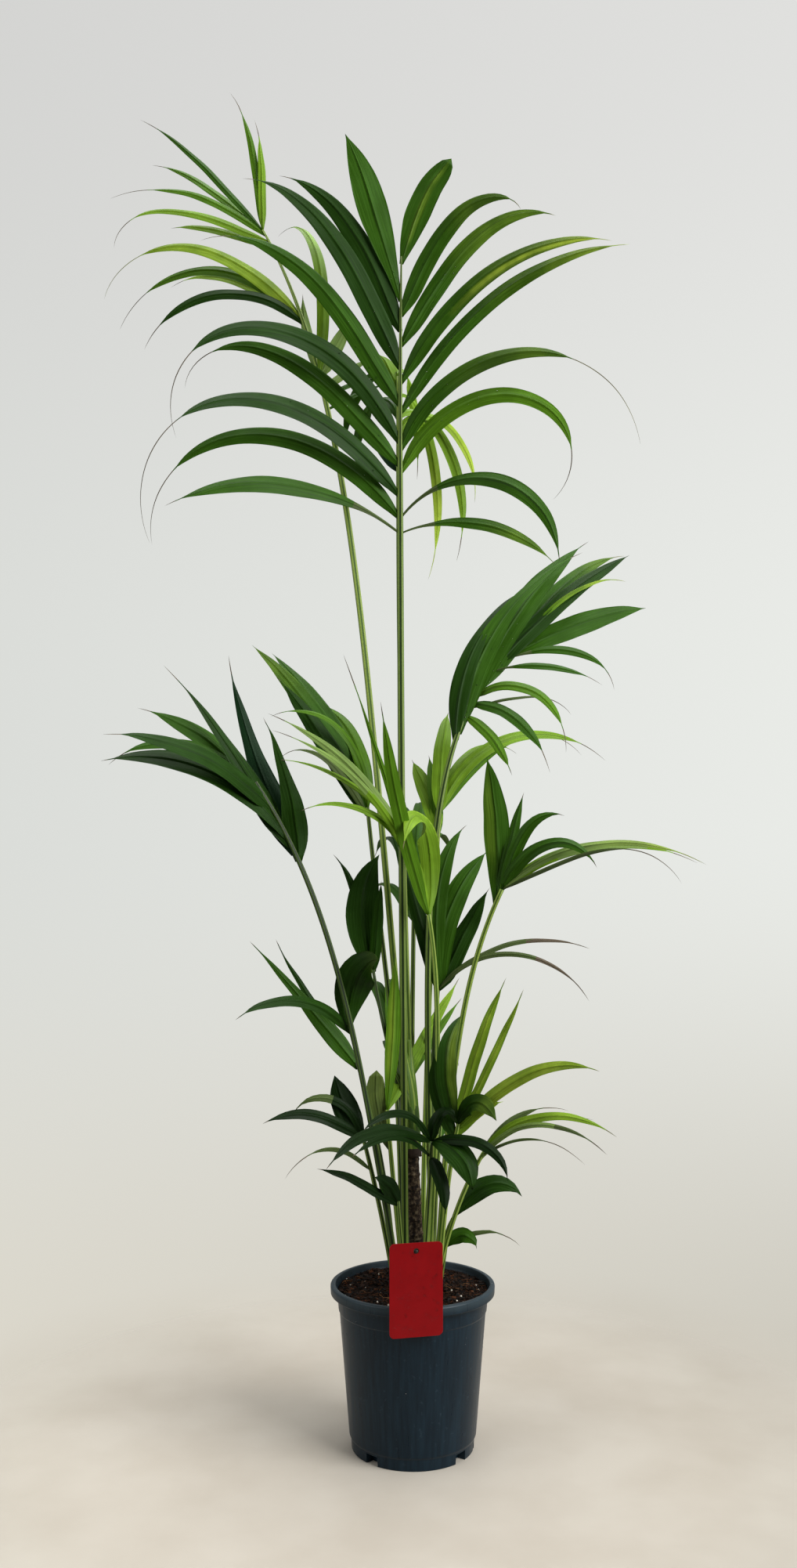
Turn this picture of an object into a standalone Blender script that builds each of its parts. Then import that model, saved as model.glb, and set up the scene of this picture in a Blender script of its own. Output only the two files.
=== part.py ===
"""Kentia palm in a nursery pot, in metres, +Z up, origin in the middle of the pot's flat underside.

Front is -Y. Every stalk, frond and leaflet follows one rule, an arch: it sets off along a compass
heading (0 is +X, 90 is +Y, 180 is -X) at a rise over the horizontal, and its rise falls by the bend
along its length, evenly where the power is 1 and mostly near the tip where it is more.
"""

import bmesh
import bpy
from math import cos, pi, radians, sin
from mathutils import Vector

# ---- driving dimensions ----
CM, MM = 0.01, 0.001
GAP = 0.0003  # between pieces that touch

POT_HEIGHT = 0.195
LIP_RADIUS = 0.1020
LIP_INNER_RADIUS = 0.0945
LIP_HEIGHT = 0.011
WALL_TOP_RADIUS = 0.0935
WALL_FOOT_RADIUS = 0.0785
WALL_THICKNESS = 0.0020
LEDGE_DROP = 0.032  # the stacking ledge, below the top of the lip
LEDGE_STEP = 0.0012
FOOT_RADIUS = 0.0750
FOOT_HEIGHT = 0.013
FLOOR_THICKNESS = 0.004
POT_SIDES = 40
NOTCH_WIDTH = 0.017
NOTCH_HEIGHT = 0.011
NOTCH_DEPTH = 0.010
NOTCH_HEADINGS = (49, 139, 229, 319)
SMALL_NOTCH_WIDTH = 0.006
SMALL_NOTCH_HEADINGS = (169, 349)

SOIL_TOP = 0.182
SOIL_CLEARANCE = 0.0006
STALK_FOOT = SOIL_TOP + GAP

TRUNK_FOOT = (0.0078, 0.0010)
TRUNK_TOP = (-0.0040, 0.0035)
TRUNK_HEIGHT = 0.218
TRUNK_RADIUS = 0.0092
TRUNK_CROWN_RADIUS = 0.0115
TRUNK_FLARE_RADIUS = 0.0150
TRUNK_RING_SPACING = 0.018
TRUNK_RING_RISE = 0.0008

TAG_WIDTH = 0.0640
TAG_HEIGHT = 0.1070
TAG_THICKNESS = 0.0012
TAG_CORNER = 0.0060
TAG_HOLE_RADIUS = 0.0032
TAG_HOLE_DROP = 0.0095
TAG_MIDDLE = 0.2175
TAG_TURN = 13.0
TAG_SHIFT = -0.0206  # along the lip from where the tag touches it
STAKE_RADIUS = 0.0013

LEAFLET_STEPS = 8
LEAFLET_THICKNESS = 0.0026
LEAFLET_THICKNESS_SHARE = 1 / 95
# how wide a leaflet is along its length, as a share of its full width
WIDTH_AT = ((0.0, 0.34), (0.08, 0.62), (0.22, 0.94), (0.42, 1.0), (0.66, 0.86), (0.86, 0.50), (1.0, 0.0))
STALK_STEP = 0.11


def srgb(hexcode):
    """The linear colour of a six-digit sRGB hex code."""
    shares = [int(hexcode[i : i + 2], 16) / 255 for i in (0, 2, 4)]
    linear = [s / 12.92 if s <= 0.04045 else ((s + 0.055) / 1.055) ** 2.4 for s in shares]
    return (*linear, 1.0)


def material(name, colour, roughness, metallic=0.0):
    made = bpy.data.materials.new(name)
    made.use_nodes = True
    shader = made.node_tree.nodes["Principled BSDF"]
    shader.inputs["Base Color"].default_value = srgb(colour)
    shader.inputs["Roughness"].default_value = roughness
    shader.inputs["Metallic"].default_value = metallic
    return made


def add_object(name, data, collection, finish=None):
    made = bpy.data.objects.new(name, data)
    collection.objects.link(made)
    if finish:
        data.materials.append(finish)
    return made


def mesh_from(made_mesh, name):
    mesh = bpy.data.meshes.new(name)
    made_mesh.to_mesh(mesh)
    made_mesh.free()
    return mesh


def as_mesh(thing, collection):
    """The curve object as a closed mesh object: its caps are welded and the curve is removed."""
    bpy.context.view_layer.update()
    seen = thing.evaluated_get(bpy.context.evaluated_depsgraph_get())
    mesh = bpy.data.meshes.new_from_object(seen)
    work = bmesh.new()
    work.from_mesh(mesh)
    bmesh.ops.remove_doubles(work, verts=work.verts, dist=1e-5)
    bmesh.ops.recalc_face_normals(work, faces=work.faces)
    work.to_mesh(mesh)
    work.free()
    made = bpy.data.objects.new(thing.name + "_mesh", mesh)
    made.matrix_world = thing.matrix_world
    collection.objects.link(made)
    name = thing.name
    bpy.data.objects.remove(thing)
    made.name = name
    return made


# ---- the arch that everything on the plant follows ----
def arch(start, heading, rise, length, bend, power, steps):
    """Points along an arch and the direction at each."""
    ahead = Vector((cos(radians(heading)), sin(radians(heading)), 0))
    fine = 6
    points, point = [Vector(start)], Vector(start)
    for i in range(steps * fine):
        angle = radians(rise - bend * ((i + 0.5) / (steps * fine)) ** power)
        point = point + (ahead * cos(angle) + Vector((0, 0, sin(angle)))) * (length / (steps * fine))
        if (i + 1) % fine == 0:
            points.append(point.copy())
    ways = []
    for i in range(steps + 1):
        angle = radians(rise - bend * (i / steps) ** power)
        ways.append(ahead * cos(angle) + Vector((0, 0, sin(angle))))
    return points, ways


def along(points, share):
    """The point at a share of the way along evenly spaced points."""
    place = min(max(share, 0), 1) * (len(points) - 1)
    i = min(int(place), len(points) - 2)
    return points[i].lerp(points[i + 1], place - i)


def width_at(share):
    for (s0, w0), (s1, w1) in zip(WIDTH_AT, WIDTH_AT[1:]):
        if share <= s1:
            return w0 + (w1 - w0) * (share - s0) / (s1 - s0)
    return 0.0


def leaflet(name, start, heading, length, rise, bend, power, width, face, collection):
    """A long pointed blade with a keel under its midrib: a loft between unlike three-cornered sections."""
    points, ways = arch(start, heading, rise, length, bend, power, LEAFLET_STEPS)
    thick = max(LEAFLET_THICKNESS, length * LEAFLET_THICKNESS_SHARE)
    work = bmesh.new()
    sections = []
    for i in range(LEAFLET_STEPS):
        share = i / LEAFLET_STEPS
        up = (face - ways[i] * face.dot(ways[i])).normalized()
        side = ways[i].cross(up) * (width * width_at(share) / 2)
        keel = up * -thick * (1 - 0.45 * share)
        sections.append([work.verts.new(points[i] + offset) for offset in (side, keel, -side)])
    tip = work.verts.new(points[-1])
    work.faces.new(sections[0])
    for lower, upper in zip(sections, sections[1:]):
        for j in range(3):
            work.faces.new((lower[j], lower[j - 1], upper[j - 1], upper[j]))
    for j in range(3):
        work.faces.new((sections[-1][j], sections[-1][j - 1], tip))
    bmesh.ops.recalc_face_normals(work, faces=work.faces)
    return add_object(name, mesh_from(work, name), collection)


def stalk(name, points, foot_radius, tip_radius, collection):
    """A tapering stalk: a bevelled curve with filled caps."""
    curve = bpy.data.curves.new(name, "CURVE")
    curve.dimensions = "3D"
    curve.bevel_depth = 1.0
    curve.bevel_resolution = 0
    curve.use_fill_caps = True
    spline = curve.splines.new("POLY")
    spline.points.add(len(points) - 1)
    for i, point in enumerate(points):
        spline.points[i].co = (*point, 1)
        spline.points[i].radius = foot_radius + (tip_radius - foot_radius) * i / (len(points) - 1)
    return as_mesh(add_object(name, curve, collection), collection)


def drop_inner_shells(mesh):
    """Fills the hollows that joining has sealed: every shell but the largest goes."""
    work = bmesh.new()
    work.from_mesh(mesh)
    waiting = set(work.verts)
    shells = []
    while waiting:
        edge_of_shell = [waiting.pop()]
        shell = []
        while edge_of_shell:
            vert = edge_of_shell.pop()
            shell.append(vert)
            for edge in vert.link_edges:
                other = edge.other_vert(vert)
                if other in waiting:
                    waiting.remove(other)
                    edge_of_shell.append(other)
        shells.append(shell)
    shells.sort(key=len)
    for shell in shells[:-1]:
        bmesh.ops.delete(work, geom=shell, context="VERTS")
    work.to_mesh(mesh)
    work.free()


def frond(name, foot, heading, rise, length, bend, power, radius, face, finish, leaflets, base=STALK_FOOT):
    """One frond: a stalk that carries on as the rib, joined with its leaflets.

    foot is in centimetres and length too, radius in millimetres. Each leaflet is (how far along the
    stalk, heading, length, rise, bend, power, width), in centimetres and degrees, its width in
    millimetres.
    """
    blades = bpy.data.collections.new(name + "_leaflets")
    parts.children.link(blades)
    steps = max(3, round(length * CM / STALK_STEP))
    tilt = radius * MM * abs(cos(radians(rise)))  # the cut end of a leaning stalk stays clear of its seat
    start = (foot[0] * CM, foot[1] * CM, base + tilt)
    points, _ = arch(start, heading, rise, length * CM, bend, power, steps)
    made = stalk(name, points, radius * MM, radius * MM * 0.5, parts)
    made.data.materials.append(finish)
    look = Vector(face).normalized()
    for i, (place, turn, long, climb, droop, ease, wide) in enumerate(leaflets):
        root = along(points, place / length)
        leaflet(f"{name}_leaflet_{i}", root, turn, long * CM, climb, droop, ease, wide * MM, look, blades)
    union = made.modifiers.new("leaflets", "BOOLEAN")
    union.operation = "UNION"
    union.operand_type = "COLLECTION"
    union.collection = blades
    union.solver = "MANIFOLD"
    bpy.context.view_layer.update()
    seen = made.evaluated_get(bpy.context.evaluated_depsgraph_get())
    joined = bpy.data.meshes.new_from_object(seen)
    made.modifiers.clear()
    made.data = joined
    joined.name = name
    drop_inner_shells(joined)
    joined.materials.clear()
    joined.materials.append(finish)
    for blade in list(blades.objects):
        bpy.data.objects.remove(blade)
    bpy.data.collections.remove(blades)
    return made


for thing in list(bpy.data.objects):
    bpy.data.objects.remove(thing)
parts = bpy.data.collections.new("kentia_palm")
cutters = bpy.data.collections.new("cutters")
for group in (parts, cutters):
    bpy.context.scene.collection.children.link(group)

pot_plastic = material("pot_plastic", "2B3C46", 0.42)
potting_soil = material("potting_soil", "2A1D16", 0.95)
tag_plastic = material("tag_plastic", "A8161F", 0.28)
stake_plastic = material("stake_plastic", "1C1714", 0.5)
ringed_bark = material("ringed_bark", "6A5440", 0.85)
mature_leaf = material("mature_leaf", "1E4A22", 0.35)
young_leaf = material("young_leaf", "4C8034", 0.35)


# ---- pot ----
def turned(name, profile, finish, sides=POT_SIDES):
    """A solid of revolution: a profile of (radius, height) that starts and ends on the Z axis."""
    work = bmesh.new()
    corners = [work.verts.new((radius, 0, height)) for radius, height in profile]
    for one, other in zip(corners, corners[1:]):
        work.edges.new((one, other))
    made = add_object(name, mesh_from(work, name), parts, finish)
    screw = made.modifiers.new("turn", "SCREW")
    screw.steps = screw.render_steps = sides
    screw.use_merge_vertices = True
    screw.merge_threshold = 0.00005
    screw.use_normal_calculate = True
    return made


def wall_radius(height):
    """The pot wall's outer radius, without its ledge."""
    share = (height - FOOT_HEIGHT) / (POT_HEIGHT - LIP_HEIGHT - FOOT_HEIGHT)
    return WALL_FOOT_RADIUS + (WALL_TOP_RADIUS - WALL_FOOT_RADIUS) * share


def inner_radius(height):
    return wall_radius(height) - LEDGE_STEP - WALL_THICKNESS


def cut_notch(heading, width, height):
    bpy.ops.mesh.primitive_cube_add(size=1)
    block = bpy.context.active_object
    block.name = f"notch_cutter_{heading}"
    for group in list(block.users_collection):
        group.objects.unlink(block)
    cutters.objects.link(block)
    turn = radians(heading)
    block.location = ((FOOT_RADIUS) * cos(turn), (FOOT_RADIUS) * sin(turn), 0)
    block.rotation_euler = (0, 0, turn)
    block.scale = (NOTCH_DEPTH * 2, width, height * 2)
    block.hide_render = True
    block.display_type = "WIRE"
    cut = pot.modifiers.new(f"notch_{heading}", "BOOLEAN")
    cut.operation = "DIFFERENCE"
    cut.object = block


lip_foot = POT_HEIGHT - LIP_HEIGHT
ledge = POT_HEIGHT - LEDGE_DROP
pot_floor = FOOT_HEIGHT + FLOOR_THICKNESS
soil_shoulder = lip_foot - 0.006
pot = turned(
    "pot",
    [
        (0, pot_floor),
        (inner_radius(pot_floor), pot_floor),
        (inner_radius(soil_shoulder), soil_shoulder),
        (LIP_INNER_RADIUS, lip_foot + 0.004),
        (LIP_INNER_RADIUS + 0.0014, POT_HEIGHT),
        (LIP_RADIUS - 0.0022, POT_HEIGHT),
        (LIP_RADIUS, POT_HEIGHT - 0.0024),
        (LIP_RADIUS - 0.0006, lip_foot + 0.0012),
        (LIP_RADIUS - 0.0024, lip_foot),
        (wall_radius(lip_foot), lip_foot),
        (wall_radius(ledge), ledge + 0.0008),
        (wall_radius(ledge) - LEDGE_STEP, ledge),
        (WALL_FOOT_RADIUS - LEDGE_STEP * 0.4, FOOT_HEIGHT + 0.0035),
        (FOOT_RADIUS + 0.0008, FOOT_HEIGHT),
        (FOOT_RADIUS, 0),
        (0, 0),
    ],
    pot_plastic,
)
for notch in NOTCH_HEADINGS:
    cut_notch(notch, NOTCH_WIDTH, NOTCH_HEIGHT)
for notch in SMALL_NOTCH_HEADINGS:
    cut_notch(notch, SMALL_NOTCH_WIDTH, NOTCH_HEIGHT * 0.6)

# ---- soil: fills the pot to just below its lip ----
turned(
    "soil",
    [
        (0, SOIL_TOP),
        (inner_radius(soil_shoulder) - SOIL_CLEARANCE, SOIL_TOP),
        (inner_radius(soil_shoulder) - SOIL_CLEARANCE, soil_shoulder),
        (inner_radius(pot_floor) - SOIL_CLEARANCE, pot_floor + GAP),
        (0, pot_floor + GAP),
    ],
    potting_soil,
)

# ---- trunk: a slim ringed stem that leans a little, wider at its foot and under its crown ----
rings = round(TRUNK_HEIGHT / TRUNK_RING_SPACING)
trunk_curve = bpy.data.curves.new("trunk", "CURVE")
trunk_curve.dimensions = "3D"
trunk_curve.bevel_depth = 1.0
trunk_curve.bevel_resolution = 2
trunk_curve.use_fill_caps = True
trunk_line = trunk_curve.splines.new("POLY")
trunk_line.points.add(rings * 2)
for i in range(rings * 2 + 1):
    share = i / (rings * 2)
    place = Vector((*TRUNK_FOOT, STALK_FOOT)).lerp(
        Vector((*TRUNK_TOP, STALK_FOOT + TRUNK_HEIGHT)), share
    )
    if i == 1:
        place.xy = TRUNK_FOOT
    if i == rings * 2 - 1:
        place.xy = TRUNK_TOP
    flare = (TRUNK_FLARE_RADIUS - TRUNK_RADIUS) * max(0, 1 - share * 7) ** 2
    crown = (TRUNK_CROWN_RADIUS - TRUNK_RADIUS) * max(0, share - 0.75) / 0.25
    ring = TRUNK_RING_RISE * (1 if i % 2 == 0 else -0.5)
    trunk_line.points[i].co = (*place, 1)
    trunk_line.points[i].radius = TRUNK_RADIUS + flare + crown + ring
trunk = as_mesh(add_object("trunk", trunk_curve, parts, ringed_bark), parts)
TRUNK_CROWN = STALK_FOOT + TRUNK_HEIGHT + GAP

# ---- tag: a plain card that leans on the lip, hung from a thin stake ----
tag_heading = radians(270 + TAG_TURN)
tag_curve = bpy.data.curves.new("tag", "CURVE")
tag_curve.dimensions = "2D"
tag_curve.fill_mode = "BOTH"
tag_curve.extrude = TAG_THICKNESS / 2
outline = []
for corner in range(4):
    middle_x = (TAG_WIDTH / 2 - TAG_CORNER) * (1 if corner in (0, 3) else -1)
    middle_y = (TAG_HEIGHT / 2 - TAG_CORNER) * (1 if corner in (0, 1) else -1)
    for step in range(5):
        turn = radians(corner * 90 + step * 22.5)
        outline.append((middle_x + TAG_CORNER * cos(turn), middle_y + TAG_CORNER * sin(turn)))
hole = []
for i in range(12):
    turn = -2 * pi * i / 12
    hole_middle = TAG_HEIGHT / 2 - TAG_HOLE_DROP
    hole.append((TAG_HOLE_RADIUS * cos(turn), hole_middle + TAG_HOLE_RADIUS * sin(turn)))
for loop in (outline, hole):
    spline = tag_curve.splines.new("POLY")
    spline.points.add(len(loop) - 1)
    for i, (x, y) in enumerate(loop):
        spline.points[i].co = (x, y, 0, 1)
    spline.use_cyclic_u = True
tag = add_object("tag", tag_curve, parts, tag_plastic)
reach = LIP_RADIUS + GAP + TAG_THICKNESS / 2
across = Vector((cos(radians(TAG_TURN)), sin(radians(TAG_TURN)), 0))
tag_place = Vector((cos(tag_heading), sin(tag_heading), 0)) * reach + across * TAG_SHIFT
tag.rotation_euler = (pi / 2, 0, radians(TAG_TURN))
tag.location = (tag_place.x, tag_place.y, TAG_MIDDLE)
tag = as_mesh(tag, parts)

hole_height = TAG_MIDDLE + TAG_HEIGHT / 2 - TAG_HOLE_DROP
stake_foot = Vector((tag_place.x - 0.0015, -0.0865, STALK_FOOT))
stake_head = Vector((tag_place.x, tag_place.y, hole_height))
inward = Vector((-cos(tag_heading), -sin(tag_heading), 0))
stake_line = [
    stake_foot,
    stake_foot.lerp(stake_head + inward * 0.008, 0.6) + inward * 0.002,
    stake_head + inward * 0.0075 + Vector((0, 0, -0.006)),
    stake_head + inward * 0.0050,
    stake_head - inward * 0.0030,
]
stake_curve = bpy.data.curves.new("tag_stake", "CURVE")
stake_curve.dimensions = "3D"
stake_curve.bevel_depth = STAKE_RADIUS
stake_curve.bevel_resolution = 1
stake_curve.use_fill_caps = True
stake_spline = stake_curve.splines.new("POLY")
stake_spline.points.add(len(stake_line) - 1)
for i, point in enumerate(stake_line):
    stake_spline.points[i].co = (*point, 1)
as_mesh(add_object("tag_stake", stake_curve, parts, stake_plastic), parts)

# ---- fronds, tallest first ----
frond(
    "frond_tall_front", (-0.9, -1.6), 107, 88.5, 133, -4, 4, 3.6, (0, -1, 0.25), mature_leaf,
    [
        (96, 205, 33, 32, 65, 1, 18),
        (98, 190, 44.5, 49, 150, 1.5, 19),
        (101, 208, 51, 44, 160, 1.5, 20),
        (105, 188, 36.5, 48, 135, 3, 19),
        (108, 204, 46, 58, 170, 1.5, 20),
        (113, 190, 36, 58, 85, 3, 20),
        (118, 202, 32.5, 63, 75, 3, 22),
        (123, 188, 27, 67, 65, 3, 24),
        (127, 198, 23, 73, 10, 3, 37),
        (131, 350, 16, 74, 30, 2, 32),
        (125, 335, 24.5, 62, 130, 3, 20),
        (121, 352, 28.5, 59, 85, 3, 20),
        (116, 338, 34.5, 58, 80, 1.5, 20),
        (112, 350, 38, 58, 60, 1.5, 19),
        (107, 335, 43.5, 68, 150, 1, 20),
        (104, 350, 37.5, 61, 200, 1.5, 19),
        (98, 334, 29.5, 47, 135, 1, 18),
        (96, 350, 22, 21, 70, 1, 17),
    ],
)
frond(
    "frond_tall_left", (-0.7, 0.4), 157, 84.5, 122, 24, 4, 3.3, (0.2, -1, 0.4), young_leaf,
    [
        (122, 150, 23, 82, 30, 3, 15),
        (122, 128, 17.5, 88, 25, 3, 14),
        (122, 165, 27, 50, 20, 3, 14),
        (122, 150, 25.5, 43, 25, 3, 14),
        (121, 172, 25, 41, 60, 1.5, 15),
        (120, 188, 24.5, 19, 110, 3, 15),
        (119, 160, 17, 25, 25, 3, 13),
        (107, 176, 34.5, 47, 125, 2, 15),
        (107, 165, 33, 48, 115, 1.5, 15),
        (106, 185, 26, 46, 115, 1, 15),
        (108, 152, 24.5, 34, 55, 3, 13),
        (98, 120, 34, 103, 105, 1.5, 14),
    ],
    base=TRUNK_CROWN,
)
frond(
    "frond_tall_young", (-0.1, 1.1), 113, 84.5, 97, -6, 1, 2.8, (0.1, -1, 0.3), young_leaf,
    [
        (97, 76, 21.5, 88, 195, 0.5, 14),
        (94, 66, 34, 64, 190, 0.5, 15),
        (91, 50, 29.5, 80, 195, 0.5, 15),
        (88, 40, 23.5, 95, 195, 0.7, 14),
        (95, 130, 19, 92, 190, 0.7, 15),
        (91, 120, 19.5, 74, 180, 1, 15),
    ],
    base=TRUNK_CROWN,
)
frond(
    "frond_right_upper", (2.5, 1.4), 42, 90.5, 89, 66, 4, 3.0, (0, -1, 0.6), mature_leaf,
    [
        (66, 42, 39, 109, 96, 0.7, 26),
        (73, 30, 32.5, 59, 16, 0.7, 26),
        (77, 36, 35.5, 44, 19, 3, 27),
        (83, 20, 27.5, 46, 20, 2, 24),
        (87, 5, 19, 41, 25, 3, 12),
        (88, 12, 21, 28, 20, 1.5, 30),
        (87, 350, 16.5, 11, 100, 2, 15),
        (82, 338, 15.5, 15, 55, 1, 14),
        (78, 330, 18, 23, 120, 1, 15),
        (76, 320, 14, -1, 75, 1, 14),
        (75, 5, 15, 15, 75, 3, 9),
        (73, 315, 11, -27, 40, 1, 13),
    ],
)
frond(
    "frond_right_arching", (1.2, 3.9), 40, 88.5, 60, 4, 1.5, 2.6, (0, -1, 0.6), young_leaf,
    [
        (60, 25, 32, 72, 110, 1, 15),
        (60, 38, 31.5, 49, 80, 1.5, 12),
        (60, 55, 30.5, 68, 100, 1, 14),
        (60, 80, 16, 110, 40, 1, 14),
        (58, 120, 11.5, 70, 20, 1, 15),
    ],
)
frond(
    "frond_left_upper", (-1.4, -3.2), 210, 85.5, 68, 31, 1.5, 2.8, (0.2, -1, 0.7), mature_leaf,
    [
        (66, 212, 21.5, 0, -15, 1, 17),
        (68, 200, 18.5, 16, 40, 3, 17),
        (68, 225, 22.5, 8, 5, 3, 16),
        (67, 195, 16.5, 28, 5, 1, 17),
        (56, 205, 27.5, 58, 15, 1, 24),
        (56, 190, 25.5, 62, -20, 2, 22),
        (56, 235, 17.5, 79, 35, 1, 20),
    ],
)
frond(
    "frond_centre_left", (-1.1, 1.0), 150, 81, 39, -2, 1, 2.6, (0.2, -1, 0.6), mature_leaf,
    [
        (39, 168, 27.5, 66, 25, 1, 20),
        (39, 150, 25.5, 67, 30, 1, 20),
        (38, 178, 22.5, 55, 5, 1, 20),
        (39, 130, 21.5, 92, 85, 1, 18),
        (39, 195, 21, 67, 105, 3, 9),
        (38, 188, 16, 58, 115, 3, 9),
    ],
    base=TRUNK_CROWN,
)
frond(
    "frond_centre_front", (1.8, -3.4), 232, 95, 47, 21, 3.5, 2.8, (0.1, -1, 0.5), young_leaf,
    [
        (47, 215, 34.5, 75, 60, 1, 13),
        (47, 228, 36, 72, 70, 1, 13),
        (47, 205, 30.5, 86, 85, 1, 13),
        (47, 222, 28, 86, 110, 1, 12),
        (47, 235, 35, 61, 5, 3, 13),
        (47, 250, 30, 43, -25, 1, 14),
        (47, 255, 25, 128, 195, 1, 26),
    ],
)
frond(
    "frond_right_middle", (2.8, -1.2), 336, 85.5, 51, 23, 3, 2.8, (0, -1, 0.6), mature_leaf,
    [
        (49, 60, 18.5, 77, -40, 1, 29),
        (50, 20, 13.5, 76, 5, 3, 12),
        (51, 340, 13.5, 72, 100, 3, 14),
        (51, 325, 16.5, 60, 125, 1.5, 14),
        (51, 350, 25.5, 45, 70, 1, 15),
        (51, 335, 27, 43, 70, 1, 10),
        (51, 318, 27, 21, 80, 3, 10),
    ],
)
frond(
    "frond_centre_right", (2.2, 2.2), 30, 90, 37, 6, 2, 2.6, (0, -1, 0.6), mature_leaf,
    [
        (37, 55, 24.5, 96, 75, 2, 22),
        (37, 35, 21.5, 94, 60, 1, 26),
        (37, 15, 15, 64, 10, 3, 22),
        (37, 5, 22.5, 54, 80, 1, 11),
        (37, 345, 23.5, 57, 120, 1, 11),
        (37, 140, 22.5, 72, 15, 3, 12),
    ],
)
frond(
    "frond_left_middle", (-1.5, -1.2), 200, 81, 34, 6, 1.5, 2.6, (0.1, -1, 0.6), mature_leaf,
    [
        (34, 300, 14, 140, 165, 1, 22),
        (33, 222, 20, 52, 85, 1, 14),
    ],
)
frond(
    "frond_left_slim", (-2.1, -0.2), 185, 82, 28.6, 16, 4, 2.2, (0.1, -1, 0.6), mature_leaf,
    [
        (28, 182, 21, 44, -15, 1, 14),
        (28, 165, 20, 66, 25, 1, 13),
    ],
)
frond(
    "frond_inner_left", (-1.0, -0.35), 190, 74, 18.4, -6, 2.5, 2.6, (0.1, -1, 0.5), mature_leaf,
    [
        (18, 200, 15.5, 68, -60, 1.5, 26),
        (18, 290, 12, 77, 5, 3, 20),
        (18, 180, 15.5, 79, 35, 3, 12),
    ],
    base=TRUNK_CROWN,
)
frond(
    "leaf_spear", (-0.9, -2.6), 200, 83.5, 23, -2, 2.5, 2.4, (0.1, -1, 0.3), young_leaf,
    [
        (23, 250, 19, 105, 20, 1, 21),
        (23, 160, 5.5, 69, -30, 3, 13),
    ],
)
frond(
    "frond_left_low", (-2.0, -2.2), 206, 80, 20.5, 6, 1, 2.4, (0.1, -1, 0.7), mature_leaf,
    [
        (20, 180, 8.5, 57, -20, 1.5, 24),
        (20, 205, 14, 36, 60, 1.5, 13),
        (20, 230, 17, 60, 120, 1.5, 9),
        (16, 225, 15.5, 40, 90, 1.5, 9),
    ],
)
frond(
    "frond_front_low", (1.0, -4.5), 301, 82, 19.8, -6, 3, 2.6, (0.1, -0.8, 0.7), mature_leaf,
    [
        (20, 225, 18, 34, 75, 1, 13),
        (20, 250, 23, 31, 45, 1.5, 12),
        (17, 265, 14, 25, 40, 1, 10),
        (20, 300, 11, 19, 125, 2, 20),
        (20, 330, 12, 18, 100, 1.5, 14),
        (20, 335, 12, 60, 150, 2, 22),
        (20, 285, 11, 8, 150, 1, 14),
    ],
)
frond(
    "frond_right_inner", (2.9, -3.2), 328, 84, 21.7, 9, 3, 2.4, (0, -1, 0.5), young_leaf,
    [
        (21, 345, 19.5, 79, 15, 1, 14),
        (21, 330, 19.5, 60, -5, 1, 9),
        (21, 320, 23, 45, 70, 2, 13),
        (21, 60, 15.5, 125, 85, 1, 24),
        (20, 200, 11, 60, -40, 1.5, 15),
        (20, 110, 21, 110, 60, 1, 12),
        (20, 80, 18, 110, 60, 1.5, 12),
    ],
)
frond(
    "frond_right_low", (3.6, -2.2), 334, 82, 19.5, 18, 1.5, 2.4, (0, -1, 0.7), young_leaf,
    [
        (19, 330, 19, 45, 70, 1, 12),
        (19, 315, 20, 34, 70, 1.5, 12),
        (19, 300, 21, 27, 50, 1.5, 9),
        (19, 348, 15, 49, 60, 1, 11),
        (19, 5, 13, 57, 80, 1.5, 12),
    ],
)
frond(
    "leaf_right_low", (3.6, -0.2), 350, 88, 10.1, 35, 3, 2.0, (0, -1, 0.7), mature_leaf,
    [(10, 345, 10, 60, 110, 1.5, 24)],
)
frond(
    "leaf_right_lowest", (4.4, -1.2), 350, 91, 6.4, 0, 1, 1.8, (0, -1, 0.7), mature_leaf,
    [
        (6, 335, 5.5, 52, 145, 1.5, 18),
        (6, 352, 10, 34, 80, 1.5, 8),
    ],
)
frond(
    "leaf_left_lowest", (-0.7, -4.4), 226, 82, 12.5, -3, 2.5, 1.8, (0, -1, 0.7), mature_leaf,
    [
        (12, 245, 8, 58, 45, 1, 10),
        (12, 215, 13, 34, 15, 1, 9),
    ],
)
frond(
    "frond_back_upper", (-0.2, 4.4), 85, 86, 53, 12, 2, 2.6, (0, -0.3, 1), mature_leaf,
    [
        (53, 98, 29, 52, 95, 1.5, 17),
        (53, 84, 27, 60, 110, 1.5, 17),
        (51, 106, 24, 46, 90, 1.5, 16),
        (51, 74, 25, 48, 95, 1.5, 16),
        (48, 92, 26, 30, 70, 1.5, 16),
        (46, 112, 20, 40, 80, 1.5, 15),
        (46, 68, 20, 35, 70, 1.5, 15),
    ],
)
frond(
    "frond_back_lower", (-1.2, 3.0), 105, 85, 30, 12, 2, 2.4, (0, -0.3, 1), mature_leaf,
    [
        (30, 112, 22, 50, 90, 1.5, 16),
        (30, 92, 20, 58, 100, 1.5, 16),
        (29, 128, 18, 45, 90, 1.5, 15),
        (28, 78, 19, 42, 85, 1.5, 15),
        (26, 102, 20, 30, 75, 1.5, 15),
    ],
)
frond(
    "frond_back_low", (2.6, 3.2), 70, 84, 21, 14, 2, 2.2, (0, -0.3, 1), young_leaf,
    [
        (21, 70, 20, 52, 100, 1.5, 15),
        (21, 88, 18, 55, 110, 1.5, 14),
        (20, 60, 16, 46, 95, 1.5, 14),
        (18, 76, 17, 30, 80, 1.5, 13),
    ],
)
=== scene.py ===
"""Kentia palm in a nursery pot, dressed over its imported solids.

Metres, +Z up, origin in the middle of the pot's underside, front towards -Y. The sections follow
the way that the plant is potted: pot, soil, trunk, tag and stake, fronds from the tallest down
and the sheaths round the feet of some, the water that the sprayer left on them, and last the
camera, floor and light.
"""

import random
from math import cos, exp, pi, radians, sin

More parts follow.
